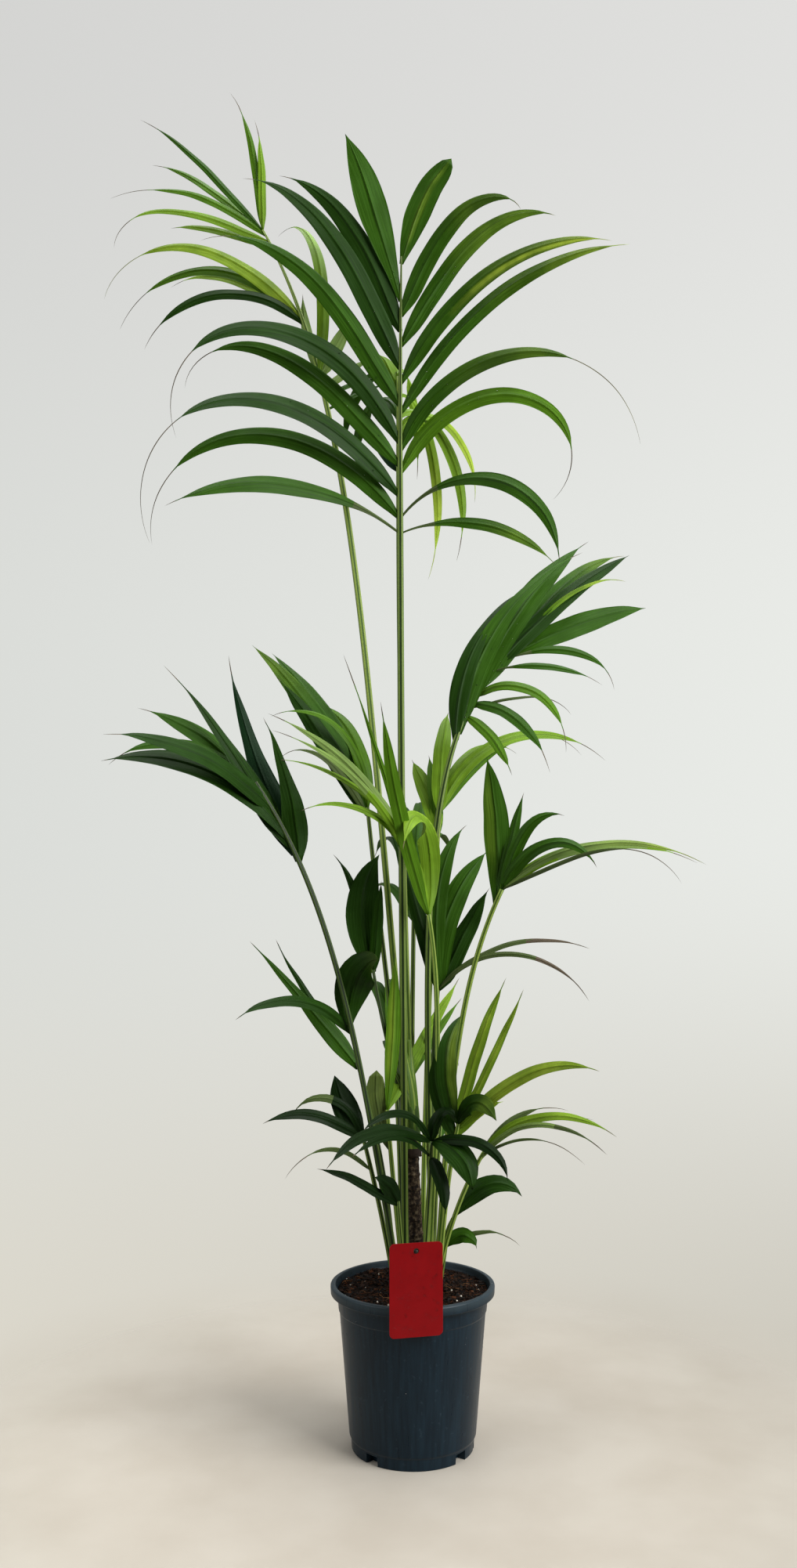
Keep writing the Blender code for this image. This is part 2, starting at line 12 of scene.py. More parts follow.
import bmesh
import bpy
from mathutils import Matrix, Vector, noise


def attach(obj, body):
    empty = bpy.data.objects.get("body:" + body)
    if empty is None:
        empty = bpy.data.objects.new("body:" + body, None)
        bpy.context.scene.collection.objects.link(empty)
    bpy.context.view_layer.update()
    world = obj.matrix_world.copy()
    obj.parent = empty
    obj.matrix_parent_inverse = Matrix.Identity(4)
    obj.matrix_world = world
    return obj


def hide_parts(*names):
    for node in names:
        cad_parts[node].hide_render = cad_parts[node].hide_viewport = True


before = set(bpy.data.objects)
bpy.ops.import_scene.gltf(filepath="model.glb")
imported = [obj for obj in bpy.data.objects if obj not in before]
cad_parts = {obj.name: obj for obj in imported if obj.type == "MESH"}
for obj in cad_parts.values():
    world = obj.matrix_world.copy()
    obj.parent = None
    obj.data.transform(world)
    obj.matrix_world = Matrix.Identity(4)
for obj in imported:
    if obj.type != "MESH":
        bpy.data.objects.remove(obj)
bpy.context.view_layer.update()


# ==== Pot ====
# A nursery pot, injection-moulded in dark slate-blue polypropylene: a thin wall that tapers down
# to a stepped foot, a rolled lip that stiffens its mouth, a ledge on which the next pot of a
# stack rests, and notches in the foot ring that let the water out.
MM = 0.001


def linear(hexcode):
    """The linear colour of a six-digit sRGB hex code."""
    shares = [int(hexcode[i : i + 2], 16) / 255 for i in (0, 2, 4)]
    return (*[s / 12.92 if s <= 0.04045 else ((s + 0.055) / 1.055) ** 2.4 for s in shares], 1.0)


def feed(tree, node, inputs):
    """Sets a node's inputs: a node or its output is linked, and a hex code becomes its colour."""
    for name, value in inputs.items():
        if isinstance(value, bpy.types.Node):
            value = next(output for output in value.outputs if output.enabled)
        if isinstance(value, bpy.types.NodeSocket):
            tree.links.new(value, node.inputs[name])
        else:
            node.inputs[name].default_value = linear(value) if isinstance(value, str) else value


def add_node(tree, kind, inputs, **settings):
    """Adds a shader node with its own settings and feeds its inputs.

    Inputs go by name, or by number where names repeat: a Mix node blends its 6 and 7 by its 0.
    """
    node = tree.nodes.new("ShaderNode" + kind)
    for name, value in settings.items():
        setattr(node, name, value)
    feed(tree, node, inputs)
    return node


def flecks(tree, where, size, detail, low, high, under, over, most=1.0, harsh=0.5):
    """Flecks of this size, one colour over another; returns the noise, its share and the colour."""
    speckle = add_node(
        tree, "TexNoise", {"Vector": where, "Scale": 1 / size, "Detail": detail, "Roughness": harsh}
    )
    share = add_node(
        tree, "MapRange", {"Value": speckle, "From Min": low, "From Max": high, "To Max": most}
    )
    return speckle, share, add_node(tree, "Mix", {0: share, 6: under, 7: over}, data_type="RGBA")


def new_finish(name, inputs):
    """A new material with these values on its Principled shader; returns it, its tree and shader."""
    finish = bpy.data.materials.new(name)
    finish.use_nodes = True
    shader = finish.node_tree.nodes["Principled BSDF"]
    feed(finish.node_tree, shader, inputs)
    return finish, finish.node_tree, shader


def add_piece(name, work, finishes, replaces=(), smooth=True):
    """Makes the bmesh a piece of the plant, in its finishes, riding on the one body."""
    used = sorted({one.material_index for one in work.faces})
    for one in work.faces:
        one.smooth = smooth
        one.material_index = used.index(one.material_index)
    mesh = bpy.data.meshes.new(name)
    work.to_mesh(mesh)
    work.free()
    for i in used:
        mesh.materials.append(finishes[i])
    piece = bpy.data.objects.new(name, mesh)
    bpy.context.scene.collection.objects.link(piece)
    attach(piece, "root")
    if replaces:
        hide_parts(*replaces)


def flat_way(turn):
    """The level direction at this turn round the pot, in radians."""
    return Vector((cos(turn), sin(turn), 0))


def crisp(work, degrees):
    """Keeps the edges sharp where two faces meet at more than this angle."""
    for edge in work.edges:
        if len(edge.link_faces) == 2 and edge.calc_face_angle(0) > radians(degrees):
            edge.smooth = False


POT_HEIGHT = 0.195
LIP_RADIUS, LIP_INNER_RADIUS, LIP_HEIGHT = 0.1020, 0.0945, 0.011
WALL_TOP_RADIUS, WALL_FOOT_RADIUS = 0.0935, 0.0785
WALL_THICKNESS = 0.0020
LEDGE_DROP, LEDGE_STEP = 0.032, 0.0012
FOOT_RADIUS, FOOT_HEIGHT, FLOOR_THICKNESS = 0.0750, 0.013, 0.004
FOOT_RING = 0.010  # how wide the ring that the pot stands on is
RECESS = 0.0015  # the underside inside the ring
NOTCH_HEIGHT, SMALL_NOTCH_HEIGHT = 0.011, 0.0066
# each notch's heading in degrees, its width and its height
NOTCHES = [(heading, 0.017, NOTCH_HEIGHT) for heading in (49, 139, 229, 319)]
NOTCHES += [(heading, 0.006, SMALL_NOTCH_HEIGHT) for heading in (169, 349)]
LIP_FOOT = POT_HEIGHT - LIP_HEIGHT
LEDGE = POT_HEIGHT - LEDGE_DROP
POT_FLOOR = FOOT_HEIGHT + FLOOR_THICKNESS
SOIL_SHOULDER = LIP_FOOT - 0.006
HAIR = 0.1 * MM  # the profile stops this short of the axis, and a notch takes in this much more


def wall_radius(height):
    share = (height - FOOT_HEIGHT) / (LIP_FOOT - FOOT_HEIGHT)
    return WALL_FOOT_RADIUS + (WALL_TOP_RADIUS - WALL_FOOT_RADIUS) * share


def inner_radius(height):
    return wall_radius(height) - LEDGE_STEP - WALL_THICKNESS


def rounded(corners, steps=4):
    """The profile with each corner (radius, height, rounding) turned into a small curve."""
    line = []
    for before, here, after in zip([corners[0], *corners], corners, [*corners[1:], corners[-1]]):
        corner = Vector(here[:2])
        ends = []
        for other in (before, after):
            away = Vector(other[:2]) - corner
            ends.append(corner + away * min(0.45, here[2] / max(away.length, 1e-9)))
        if here[2] == 0:
            line.append(corner)
            continue
        for i in range(steps + 1):
            t = i / steps
            line.append(ends[0] * (1 - t) ** 2 + corner * 2 * t * (1 - t) + ends[1] * t**2)
    return line


pot_profile = rounded(
    [
        (HAIR, POT_FLOOR, 0),
        (inner_radius(POT_FLOOR), POT_FLOOR, 0.002),
        (inner_radius(SOIL_SHOULDER), SOIL_SHOULDER, 0.003),
        (LIP_INNER_RADIUS, LIP_FOOT + 0.004, 0.002),
        (LIP_INNER_RADIUS + 0.0012, POT_HEIGHT, 0.0009),
        (LIP_RADIUS, POT_HEIGHT - 0.0002, 0.0030),
        (LIP_RADIUS - 0.0006, LIP_FOOT - 0.0004, 0.0014),
        (LIP_RADIUS - 0.0040, LIP_FOOT + 0.0006, 0.0010),
        (wall_radius(LIP_FOOT) + 0.0012, LIP_FOOT, 0.0014),
        (wall_radius(LIP_FOOT - 0.004), LIP_FOOT - 0.004, 0.0020),
        (wall_radius(LEDGE), LEDGE + 0.0012, 0.0009),
        (wall_radius(LEDGE) - LEDGE_STEP, LEDGE, 0.0009),
        (WALL_FOOT_RADIUS - LEDGE_STEP * 0.4, FOOT_HEIGHT + 0.0035, 0.0016),
        (FOOT_RADIUS + 0.0008, FOOT_HEIGHT, 0.0012),
        (FOOT_RADIUS, 0, 0.0008),
        (FOOT_RADIUS - FOOT_RING, 0, 0.0004),
        (FOOT_RADIUS - FOOT_RING - 0.0006, RECESS, 0),
        (HAIR, RECESS, 0),
    ]
)
pot_headings = {i * 1.5 for i in range(240)}
for middle, width, _ in NOTCHES:
    half = width / 2 / FOOT_RADIUS * 180 / pi
    for edge in (-half - 0.25, -half, half, half + 0.25):
        pot_headings.add((middle + edge) % 360)


def notch_lift(heading, radius, height):
    """How high the foot's lower edge stands at this heading: up at a notch, else on the ground."""
    for middle, width, top in NOTCHES:
        away = radians(abs((heading - middle + 180) % 360 - 180)) * FOOT_RADIUS
        if away < width / 2 + HAIR and radius > FOOT_RADIUS - FOOT_RING - HAIR and height < top:
            return top
    return height


work = bmesh.new()
rings = [
    [
        work.verts.new((*(flat_way(radians(heading)).xy * r), notch_lift(heading, r, h)))
        for r, h in pot_profile
    ]
    for heading in sorted(pot_headings)
]
for one, other in zip(rings, rings[1:] + rings[:1]):
    for j in range(len(pot_profile) - 1):
        work.faces.new((one[j], one[j + 1], other[j + 1], other[j]))
bmesh.ops.remove_doubles(work, verts=work.verts, dist=2e-6)
bmesh.ops.recalc_face_normals(work, faces=work.faces)
crisp(work, 50)  # at the notches

# Moulded polypropylene: satin, with flow and rain streaks down the wall and pale scuffs. Its lip is
# painted paler towards its top, a painted highlight where the roll of the lip catches the light.
pot_finish, tree, shader = new_finish(
    "moulded_polypropylene", {"IOR": 1.49, "Specular IOR Level": 0.16}
)
place = add_node(tree, "TexCoord", {}).outputs["Object"]
streak_place = add_node(
    tree, "Mapping", {"Vector": place, "Scale": (1 / (5 * MM), 1 / (5 * MM), 1 / (140 * MM))}
)
streaks, _, wall_colour = flecks(tree, streak_place, 1, 3, 0.38, 0.68, "0E1D27", "152732")
scuffed = flecks(tree, place, 6 * MM, 8, 0.62, 0.78, wall_colour, "40525E", 0.25)[2]
height = add_node(tree, "SeparateXYZ", {0: place}).outputs["Z"]
# Painted highlight: the lip turns paler from its foot to near its top, where its roll catches the light.
lip_highlight_share = add_node(
    tree,
    "MapRange",
    {"Value": height, "From Min": LIP_FOOT, "From Max": POT_HEIGHT - 4 * MM, "To Max": 0.6},
)
lip_painted_highlight = add_node(tree, "Mix", {0: lip_highlight_share, 6: scuffed, 7: "3C474C"}, data_type="RGBA")
gloss = add_node(
    tree,
    "MapRange",
    {"Value": streaks, "From Min": 0.3, "From Max": 0.7, "To Min": 0.27, "To Max": 0.42},
)
dimples = add_node(tree, "TexNoise", {"Vector": place, "Scale": 1 / (2.5 * MM), "Detail": 2})
dimpled = add_node(tree, "Bump", {"Height": dimples, "Strength": 0.1, "Distance": 0.2 * MM})
feed(tree, shader, {"Base Color": lip_painted_highlight, "Roughness": gloss, "Normal": dimpled})
add_piece("nursery_pot", work, [pot_finish], ["pot"])


# ==== Soil ====
# Potting soil: dark peat with lumps, chips of bark, reddish coir fibres and a few white grains of
# perlite. It lies loose round the stalks' feet, about 8 mm below the top of the pot's lip.
SOIL_TOP = 0.182
SOIL_HEAP = 6 * MM  # the loose peat stands this much higher than the solid
SOIL_RADIUS = LIP_INNER_RADIUS - 1.2 * MM
SOIL_GAP = 0.6 * MM  # between the soil and the pot's wall
LUMP_HEIGHT = 3.2 * MM
LUMP_SIZE, CRUMB_SIZE = 20 * MM, 5 * MM
SOIL_RINGS, SOIL_SIDES = 44, 140


def soil_height(x, y):
    """The lumpy top of the soil."""
    lumps = noise.noise(Vector((x / LUMP_SIZE, y / LUMP_SIZE, 3.1)))
    crumbs = noise.noise(Vector((x / CRUMB_SIZE, y / CRUMB_SIZE, 7.7)))
    return SOIL_TOP + SOIL_HEAP - 0.8 * MM + LUMP_HEIGHT * (0.7 * lumps + 0.3 * crumbs)


def turns(count):
    """The directions of this many points round a circle, in radians."""
    return [2 * pi * j / count for j in range(count)]


def skin(work, loops):
    """Faces from each loop of vertices to the next; returns (face, loop number, corner number)."""
    made = []
    for i, (one, other) in enumerate(zip(loops, loops[1:])):
        for j in range(len(one)):
            k = (j + 1) % len(one)
            made.append((work.faces.new((one[j], one[k], other[k], other[j])), i, j))
    return made


work = bmesh.new()
middle = work.verts.new((0, 0, soil_height(0, 0)))
rings = []
for i in range(1, SOIL_RINGS + 1):
    spots = [flat_way(turn).xy * (SOIL_RADIUS * i / SOIL_RINGS) for turn in turns(SOIL_SIDES)]
    rings.append([work.verts.new((*spot, soil_height(*spot))) for spot in spots])
for height, lift in ((SOIL_SHOULDER, 0), (POT_FLOOR, 0.3 * MM)):
    radius = inner_radius(height) - SOIL_GAP
    rings.append(
        [work.verts.new((*(flat_way(turn).xy * radius), height + lift)) for turn in turns(SOIL_SIDES)]
    )
for j in range(SOIL_SIDES):
    work.faces.new((middle, rings[0][j], rings[0][(j + 1) % SOIL_SIDES]))
skin(work, rings)
work.faces.new(rings[-1][::-1])
bmesh.ops.recalc_face_normals(work, faces=work.faces)

# Moist peat: almost black, dull, with brown crumbs of 2 to 4 mm.
peat_finish, tree, shader = new_finish(
    "moist_peat", {"Roughness": 0.95, "IOR": 1.4, "Specular IOR Level": 0.1}
)
place = add_node(tree, "TexCoord", {}).outputs["Object"]
crumbs, _, crumb_colour = flecks(tree, place, 4 * MM, 6, 0.42, 0.66, "0A0705", "241710")
crumbled = add_node(tree, "Bump", {"Height": crumbs, "Strength": 0.9, "Distance": 1.5 * MM})
feed(tree, shader, {"Base Color": crumb_colour, "Normal": crumbled})
add_piece("peat", work, [peat_finish], ["soil"])


def matt_finish(name, hexcode, roughness=0.85):
    """A small thing's finish: one plain matt colour."""
    inputs = {"Base Color": hexcode, "Roughness": roughness, "Specular IOR Level": 0.12}
    return new_finish(name, inputs)[0]


def soil_spot(dealer, margin):
    """A random place on the soil, this far from the pot's wall."""
    turn = dealer.uniform(0, 2 * pi)
    spot = flat_way(turn) * ((SOIL_RADIUS - margin) * dealer.random() ** 0.5)
    spot.z = soil_height(spot.x, spot.y)
    return spot


# Chips of composted pine bark: cracked, dull, from nearly black to reddish brown.
CHIPS = 2600
CHIP_FINISHES = [
    matt_finish("bark_chip_dark", "0F0906", 0.6),
    matt_finish("bark_chip_brown", "27170E", 0.7),
    matt_finish("bark_chip_red", "4C2B19"),
]
dealer = random.Random(11)
work = bmesh.new()
for _ in range(CHIPS):
    size = (1.3 + 4.7 * dealer.random() ** 1.8) * MM
    shape = Vector((1, dealer.uniform(0.35, 0.8), dealer.uniform(0.18, 0.45))) * size
    spot = soil_spot(dealer, size * 0.7) + Vector((0, 0, dealer.uniform(-0.3, 0.6) * shape.z))
    turn = (
        Matrix.Rotation(dealer.uniform(0, 2 * pi), 4, "Z")
        @ Matrix.Rotation(dealer.gauss(0, 0.45), 4, "X")
        @ Matrix.Rotation(dealer.gauss(0, 0.45), 4, "Y")
    )
    made = bmesh.ops.create_cube(
        work, size=1, matrix=Matrix.Translation(spot) @ turn @ Matrix.Diagonal((*shape, 1))
    )
    tint = dealer.choices((0, 1, 2), (7, 3, 1))[0]
    for vert in made["verts"]:
        vert.co += Vector([dealer.uniform(-1, 1) * shape.z * 0.35 for _ in range(3)])
        for one in vert.link_faces:
            one.material_index = tint
add_piece("bark_chips", work, CHIP_FINISHES, smooth=False)


def strand(work, line, radii, sides=3, tint=0):
    """A thin closed strand along a line of points, with a radius at each."""
    loops = []
    for i, point in enumerate(line):
        way = (line[min(i + 1, len(line) - 1)] - line[max(i - 1, 0)]).normalized()
        side = way.orthogonal().normalized() if i == 0 else (side - way * side.dot(way)).normalized()
        up = way.cross(side)
        loops.append(
            [work.verts.new(point + (side * cos(t) + up * sin(t)) * radii[i]) for t in turns(sides)]
        )
    faces = [face for face, _, _ in skin(work, loops)]
    for face in (*faces, work.faces.new(loops[0][::-1]), work.faces.new(loops[-1])):
        face.material_index = tint


# Coir: coarse coconut fibres, dull, from dark brown to tan.
FIBRES = 760
FIBRE_FINISHES = [
    matt_finish("coir_fibre_dark", "2A1A10"),
    matt_finish("coir_fibre_brown", "4C2F1C"),
    matt_finish("coir_fibre_tan", "8A6240"),
]
work = bmesh.new()
for _ in range(FIBRES):
    long = dealer.uniform(5, 17) * MM
    spot = soil_spot(dealer, long * 0.75)
    heading, curl = dealer.uniform(0, 2 * pi), dealer.uniform(-1.3, 1.3)
    climb = dealer.uniform(-0.1, 0.5)
    line = [spot + Vector((0, 0, 0.2 * MM))]
    for i in range(4):
        way = flat_way(heading + curl * i / 3) + Vector((0, 0, climb * (1 - i / 1.5)))
        line.append(line[-1] + way * (long / 4))
    thin = dealer.uniform(0.14, 0.34) * MM
    strand(work, line, [thin] * 4 + [thin * 0.4], tint=dealer.choices((0, 1, 2), (4, 4, 1))[0])
add_piece("coir_fibres", work, FIBRE_FINISHES)

# Perlite: white volcanic glass, popped to rough grains and stained by the peat.
GRAINS = 46
work = bmesh.new()
for _ in range(GRAINS):
    size = dealer.uniform(0.6, 1.5) * MM
    spot = soil_spot(dealer, 4 * MM) + Vector((0, 0, size * 0.7))
    made = bmesh.ops.create_icosphere(
        work, subdivisions=1, radius=size, matrix=Matrix.Translation(spot)
    )
    for vert in made["verts"]:
        vert.co += Vector([dealer.uniform(-1, 1) * size * 0.25 for _ in range(3)])
add_piece("perlite_grains", work, [matt_finish("perlite", "C9C2B4")], smooth=False)


# ==== Trunk ====
# The stem of the oldest palm: finger-thick, leaning a little to the left, with corky brown bark.
# Each fallen frond has left a ring round it, and pale scurf sits between the rings.
GAP = 0.0003
STALK_FOOT = SOIL_TOP + GAP
TRUNK_FOOT, TRUNK_TOP = Vector((0.0078, 0.0010)), Vector((-0.0040, 0.0035))
TRUNK_HEIGHT = 0.218
TRUNK_RADIUS, TRUNK_CROWN_RADIUS, TRUNK_FLARE_RADIUS = 0.0092, 0.0115, 0.0150
TRUNK_CROWN = STALK_FOOT + TRUNK_HEIGHT + GAP
TRUNK_SIDES, TRUNK_ROWS = 56, 240
RING_SPACING, RING_RISE, RING_HALF = 18 * MM, 0.9 * MM, 1.3 * MM
RING_WANDER, CRACK_DEPTH, CORK_RISE = 2.2 * MM, 0.5 * MM, 0.35 * MM


def trunk_middle(share):
    return TRUNK_FOOT.lerp(TRUNK_TOP, share)


def trunk_radius(share):
    """The trunk's smooth radius: it flares at its foot and swells under its crown."""
    flare = (TRUNK_FLARE_RADIUS - TRUNK_RADIUS) * max(0, 1 - share * 7) ** 2
    swell = (TRUNK_CROWN_RADIUS - TRUNK_RADIUS) * max(0, share - 0.75) / 0.25
    return TRUNK_RADIUS + flare + swell


work = bmesh.new()
rows = []
for i in range(TRUNK_ROWS + 1):
    share = i / TRUNK_ROWS
    height = share * TRUNK_HEIGHT
    row = []
    for turn in turns(TRUNK_SIDES):
        around = flat_way(turn)
        wander = RING_WANDER * noise.noise(around * 1.4 + Vector((0, 0, height / 0.030)))
        ring_place = (height + wander) / RING_SPACING
        to_ring = abs(ring_place - round(ring_place)) * RING_SPACING
        ring = RING_RISE * exp(-((to_ring / RING_HALF) ** 2)) - RING_RISE / 3
        crack = max(0, noise.noise(around * 7 + Vector((0, 0, height / 0.012)))) ** 0.7
        cork = CORK_RISE * noise.noise(around * 4 + Vector((0, 0, height / 0.003)))
        radius = trunk_radius(share) + ring - CRACK_DEPTH * crack + cork
        row.append(work.verts.new((*(trunk_middle(share) + around.xy * radius), STALK_FOOT + height)))
    rows.append(row)
skin(work, rows)
work.faces.new(rows[0][::-1])
work.faces.new(rows[-1])

# Palm bark: corky and dull, dark brown in its cracks, with cream scurf in patches of 2 to 5 mm.
bark_finish, tree, shader = new_finish(
    "corky_palm_bark", {"Roughness": 0.85, "Specular IOR Level": 0.3}
)
place = add_node(tree, "TexCoord", {}).outputs["Object"]
cork, _, cork_colour = flecks(tree, place, 5 * MM, 7, 0.36, 0.64, "17110C", "4A3828")
scurfy = flecks(tree, place, 5 * MM, 9, 0.5, 0.68, cork_colour, "94876C", 0.7, harsh=0.7)[2]
corked = add_node(tree, "Bump", {"Height": cork, "Strength": 0.7, "Distance": 0.6 * MM})
feed(tree, shader, {"Base Color": scurfy, "Normal": corked})
add_piece("palm_trunk", work, [bark_finish], ["trunk"])


# ==== Tag ====
# A plant tag punched from red PVC card: rounded corners, one round hole near its top, and a glossy
# face. It leans on the outside of the lip.
TAG_WIDTH, TAG_HEIGHT, TAG_THICKNESS = 0.0640, 0.1070, 0.0012
TAG_CORNER, TAG_HOLE_RADIUS, TAG_HOLE_DROP = 0.0060, 0.0032, 0.0095
TAG_MIDDLE, TAG_SHIFT = 0.2175, -0.0206
TAG_TURN = radians(13)
TAG_EDGE = 0.25 * MM  # how far its punched edges are rounded
HOLE_SIDES = 32
outline = []
for corner in range(4):
    middle_x = (TAG_WIDTH / 2 - TAG_CORNER) * (1 if corner in (0, 3) else -1)
    middle_y = (TAG_HEIGHT / 2 - TAG_CORNER) * (1 if corner in (0, 1) else -1)
    for step in range(10):
        turn = radians(corner * 90 + step * 10)
        outline.append((middle_x + TAG_CORNER * cos(turn), middle_y + TAG_CORNER * sin(turn)))
hole_middle = Vector((0, TAG_HEIGHT / 2 - TAG_HOLE_DROP))
hole = [hole_middle + flat_way(-turn).xy * TAG_HOLE_RADIUS for turn in turns(HOLE_SIDES)]
tag_curve = bpy.data.curves.new("tag_outline", "CURVE")
tag_curve.dimensions = "2D"
tag_curve.fill_mode = "BOTH"
tag_curve.extrude = TAG_THICKNESS / 2 - TAG_EDGE
tag_curve.bevel_depth = TAG_EDGE
tag_curve.bevel_resolution = 2
tag_curve.offset = -TAG_EDGE
for loop in (outline, hole):
    spline = tag_curve.splines.new("POLY")
    spline.points.add(len(loop) - 1)
    for point, (x, y) in zip(spline.points, loop):
        point.co = (x, y, 0, 1)
    spline.use_cyclic_u = True
tag_shape = bpy.data.objects.new("tag_outline", tag_curve)
tag_out = flat_way(TAG_TURN - pi / 2)
tag_place = tag_out * (LIP_RADIUS + GAP + TAG_THICKNESS / 2) + flat_way(TAG_TURN) * TAG_SHIFT
tag_place.z = TAG_MIDDLE
tag_stand = (
    Matrix.Translation(tag_place)
    @ Matrix.Rotation(TAG_TURN, 4, "Z")
    @ Matrix.Rotation(pi / 2, 4, "X")
)
work = bmesh.new()
work.from_mesh(tag_shape.to_mesh())
bpy.data.objects.remove(tag_shape)
bmesh.ops.remove_doubles(work, verts=work.verts, dist=1e-6)
bmesh.ops.transform(work, matrix=tag_stand, verts=work.verts)
bmesh.ops.recalc_face_normals(work, faces=work.faces)
crisp(work, 30)  # where it was punched

# Red PVC card: smooth and glossy, a touch darker where the ink lies thicker.
tag_finish, tree, shader = new_finish(
    "printed_pvc_card", {"Roughness": 0.3, "IOR": 1.53, "Specular IOR Level": 0.12}
)
place = add_node(tree, "TexCoord", {}).outputs["Object"]
ink_colour = flecks(tree, place, 22 * MM, 4, 0, 1, "780B0F", "8A0E13")[2]
press = add_node(tree, "TexNoise", {"Vector": place, "Scale": 1 / (1.2 * MM), "Detail": 2})
pressed = add_node(tree, "Bump", {"Height": press, "Strength": 0.06, "Distance": 0.1 * MM})
feed(tree, shader, {"Base Color": ink_colour, "Normal": pressed})
add_piece("plant_tag", work, [tag_finish], ["tag"], smooth=False)


# ==== Tag stake ====
# The stake that the tag hangs from: black polypropylene, moulded as a thin round rod that is pushed
# into the soil, bends forward over the lip and ends in a peg through the hole.
STAKE_RADIUS, STAKE_SIDES = 1.3 * MM, 14
PEG_RADII, PEG_SIDES = (1.5 * MM, 2.0 * MM, 1.6 * MM), 18
stake_foot = Vector((tag_place.x - 1.5 * MM, -86.5 * MM, STALK_FOOT))
stake_head = Vector((tag_place.x, tag_place.y, TAG_MIDDLE + hole_middle.y))
stake_bends = [
    stake_foot,
    stake_foot.lerp(stake_head - tag_out * 0.008, 0.6) - tag_out * 0.002,
    stake_head - tag_out * 0.0075 + Vector((0, 0, -0.006)),
    stake_head - tag_out * 0.0050,
    stake_head + tag_out * 0.0030,
]


def smooth_line(points, pieces=6):
    """Points along an even curve through these ones."""
    line = []
    for i in range(len(points) - 1):
        p0, p1, p2, p3 = (points[min(max(i + k, 0), len(points) - 1)] for k in (-1, 0, 1, 2))
        for step in range(pieces):
            t = step / pieces
            line.append(
                p1
                + (p2 - p0) * (t / 2)
                + (p0 * 2 - p1 * 5 + p2 * 4 - p3) * (t * t / 2)
                + (p1 * 3 - p0 - p2 * 3 + p3) * (t**3 / 2)
            )
    return [*line, points[-1]]


# Black polypropylene: half matt, a little browner where the mould has worn.
stake_finish, tree, shader = new_finish(
    "black_polypropylene", {"IOR": 1.49, "Specular IOR Level": 0.5}
)
place = add_node(tree, "TexCoord", {}).outputs["Object"]
mould, _, mould_colour = flecks(tree, place, 2 * MM, 3, 0, 1, "0E0C0B", "241E1A")
mould_gloss = add_node(tree, "MapRange", {"Value": mould, "To Min": 0.35, "To Max": 0.6})
feed(tree, shader, {"Base Color": mould_colour, "Roughness": mould_gloss})
stake_line = smooth_line(stake_bends)
work = bmesh.new()
stake_radii = [STAKE_RADIUS / 2] + [STAKE_RADIUS] * (len(stake_line) - 1)
strand(work, stake_line, stake_radii, STAKE_SIDES)
peg_line = [stake_head + tag_out * (reach * MM) for reach in (2.2, 2.6, 3.1)]
strand(work, peg_line, PEG_RADII, PEG_SIDES)
add_piece("stake_and_peg", work, [stake_finish], ["tag_stake"])


# ==== Fronds: how each one grows ====
# A frond is a green stalk that stands on the soil or on the trunk and carries on as the rib between
# its leaflets. Stalk and leaflets all follow one arch: it sets off along a compass heading (0 is
# +X, 90 is +Y, 180 is -X) at a rise over the horizontal, and the rise falls by the bend along it.
CM = 0.01
STATION_STEP = 8 * MM  # along a leaflet
STALK_STATION_STEP = 12 * MM
ARCH_STEPS = 3  # to a station
RIDGE_SPACING = 3.6 * MM  # between the raised veins of a blade
MOST_RIDGES = 5  # on each side of the midrib
RIDGE_RISE, RIDGE_RISE_SHARE = 0.22 * MM, 0.012  # the share is of the blade's width
MIDRIB_HALF, MIDRIB_RISE = 0.6 * MM, 2.2  # the rise is next to that of a vein
BLADE_THICKNESS = 0.45 * MM
FULLNESS = 1.28  # the blade is wider than the plain one of the solid, whose margins do not curve
WISP_WIDTH = 1.3 * MM  # of the dry thread that a leaflet ends in
ROOT_FOLD, ROOT_FOLD_LENGTH = 26, 0.06  # degrees that the blade is folded more where it starts
SIDE_SWAY, UP_SWAY = 1.0 * MM, 1.6 * MM  # how unevenly a leaflet grows
FLUTTER = 0.05  # of the margins, next to the width
WET_END = 0.45  # drops sit on the inner part of a leaflet, up to here
# how wide a leaflet is along its length, as a share of its full width
USUAL = (
    (0.0, 0.12), (0.05, 0.52), (0.12, 0.86), (0.3, 1.0), (0.6, 0.96), (0.8, 0.72), (0.92, 0.42), (1.0, 0.0)
)
STEMMED = ((0.0, 0.14), (0.18, 0.22), (0.32, 0.66), (0.48, 0.98), (0.66, 1.0), (0.86, 0.66), (1.0, 0.0))
BLUNT = ((0.0, 0.12), (0.2, 0.58), (0.42, 0.92), (0.66, 1.0), (0.88, 0.84), (0.97, 0.50), (1.0, 0.12))
BROAD_TOP = ((0.0, 0.14), (0.15, 0.34), (0.35, 0.74), (0.55, 1.0), (0.72, 0.94), (0.88, 0.56), (1.0, 0.04))
LONG_TIP = ((0.0, 0.2), (0.08, 0.66), (0.22, 1.0), (0.42, 0.82), (0.6, 0.5), (0.8, 0.32), (1.0, 0.0))
OVAL = ((0.0, 0.16), (0.12, 0.5), (0.3, 0.88), (0.5, 1.0), (0.72, 0.84), (0.9, 0.42), (1.0, 0.0))


def arch(start, heading, rise, length, bend, power, steps):
    """Points along an arch and the direction at each."""

    def way_at(share):
        angle = radians(rise - bend * share**power)
        return flat_way(radians(heading)) * cos(angle) + Vector((0, 0, sin(angle)))

    count = steps * ARCH_STEPS
    points, point = [Vector(start)], Vector(start)
    for i in range(count):
        point = point + way_at((i + 0.5) / count) * (length / count)
        if (i + 1) % ARCH_STEPS == 0:
            points.append(point.copy())
    return points, [way_at(i / steps) for i in range(steps + 1)]


def along(points, share):
    """The point at a share of the way along evenly spaced points."""
    place = min(max(share, 0), 1) * (len(points) - 1)
    i = min(int(place), len(points) - 2)
    return points[i].lerp(points[i + 1], place - i)


def level(stops, share):
    """The amount there, along stops of (share, amount)."""
    if share <= stops[0][0]:
        return stops[0][1]
    for (s0, a0), (s1, a1) in zip(stops, stops[1:]):
        if share <= s1:
            return a0 + (a1 - a0) * (share - s0) / max(s1 - s0, 1e-6)
    return stops[-1][1]


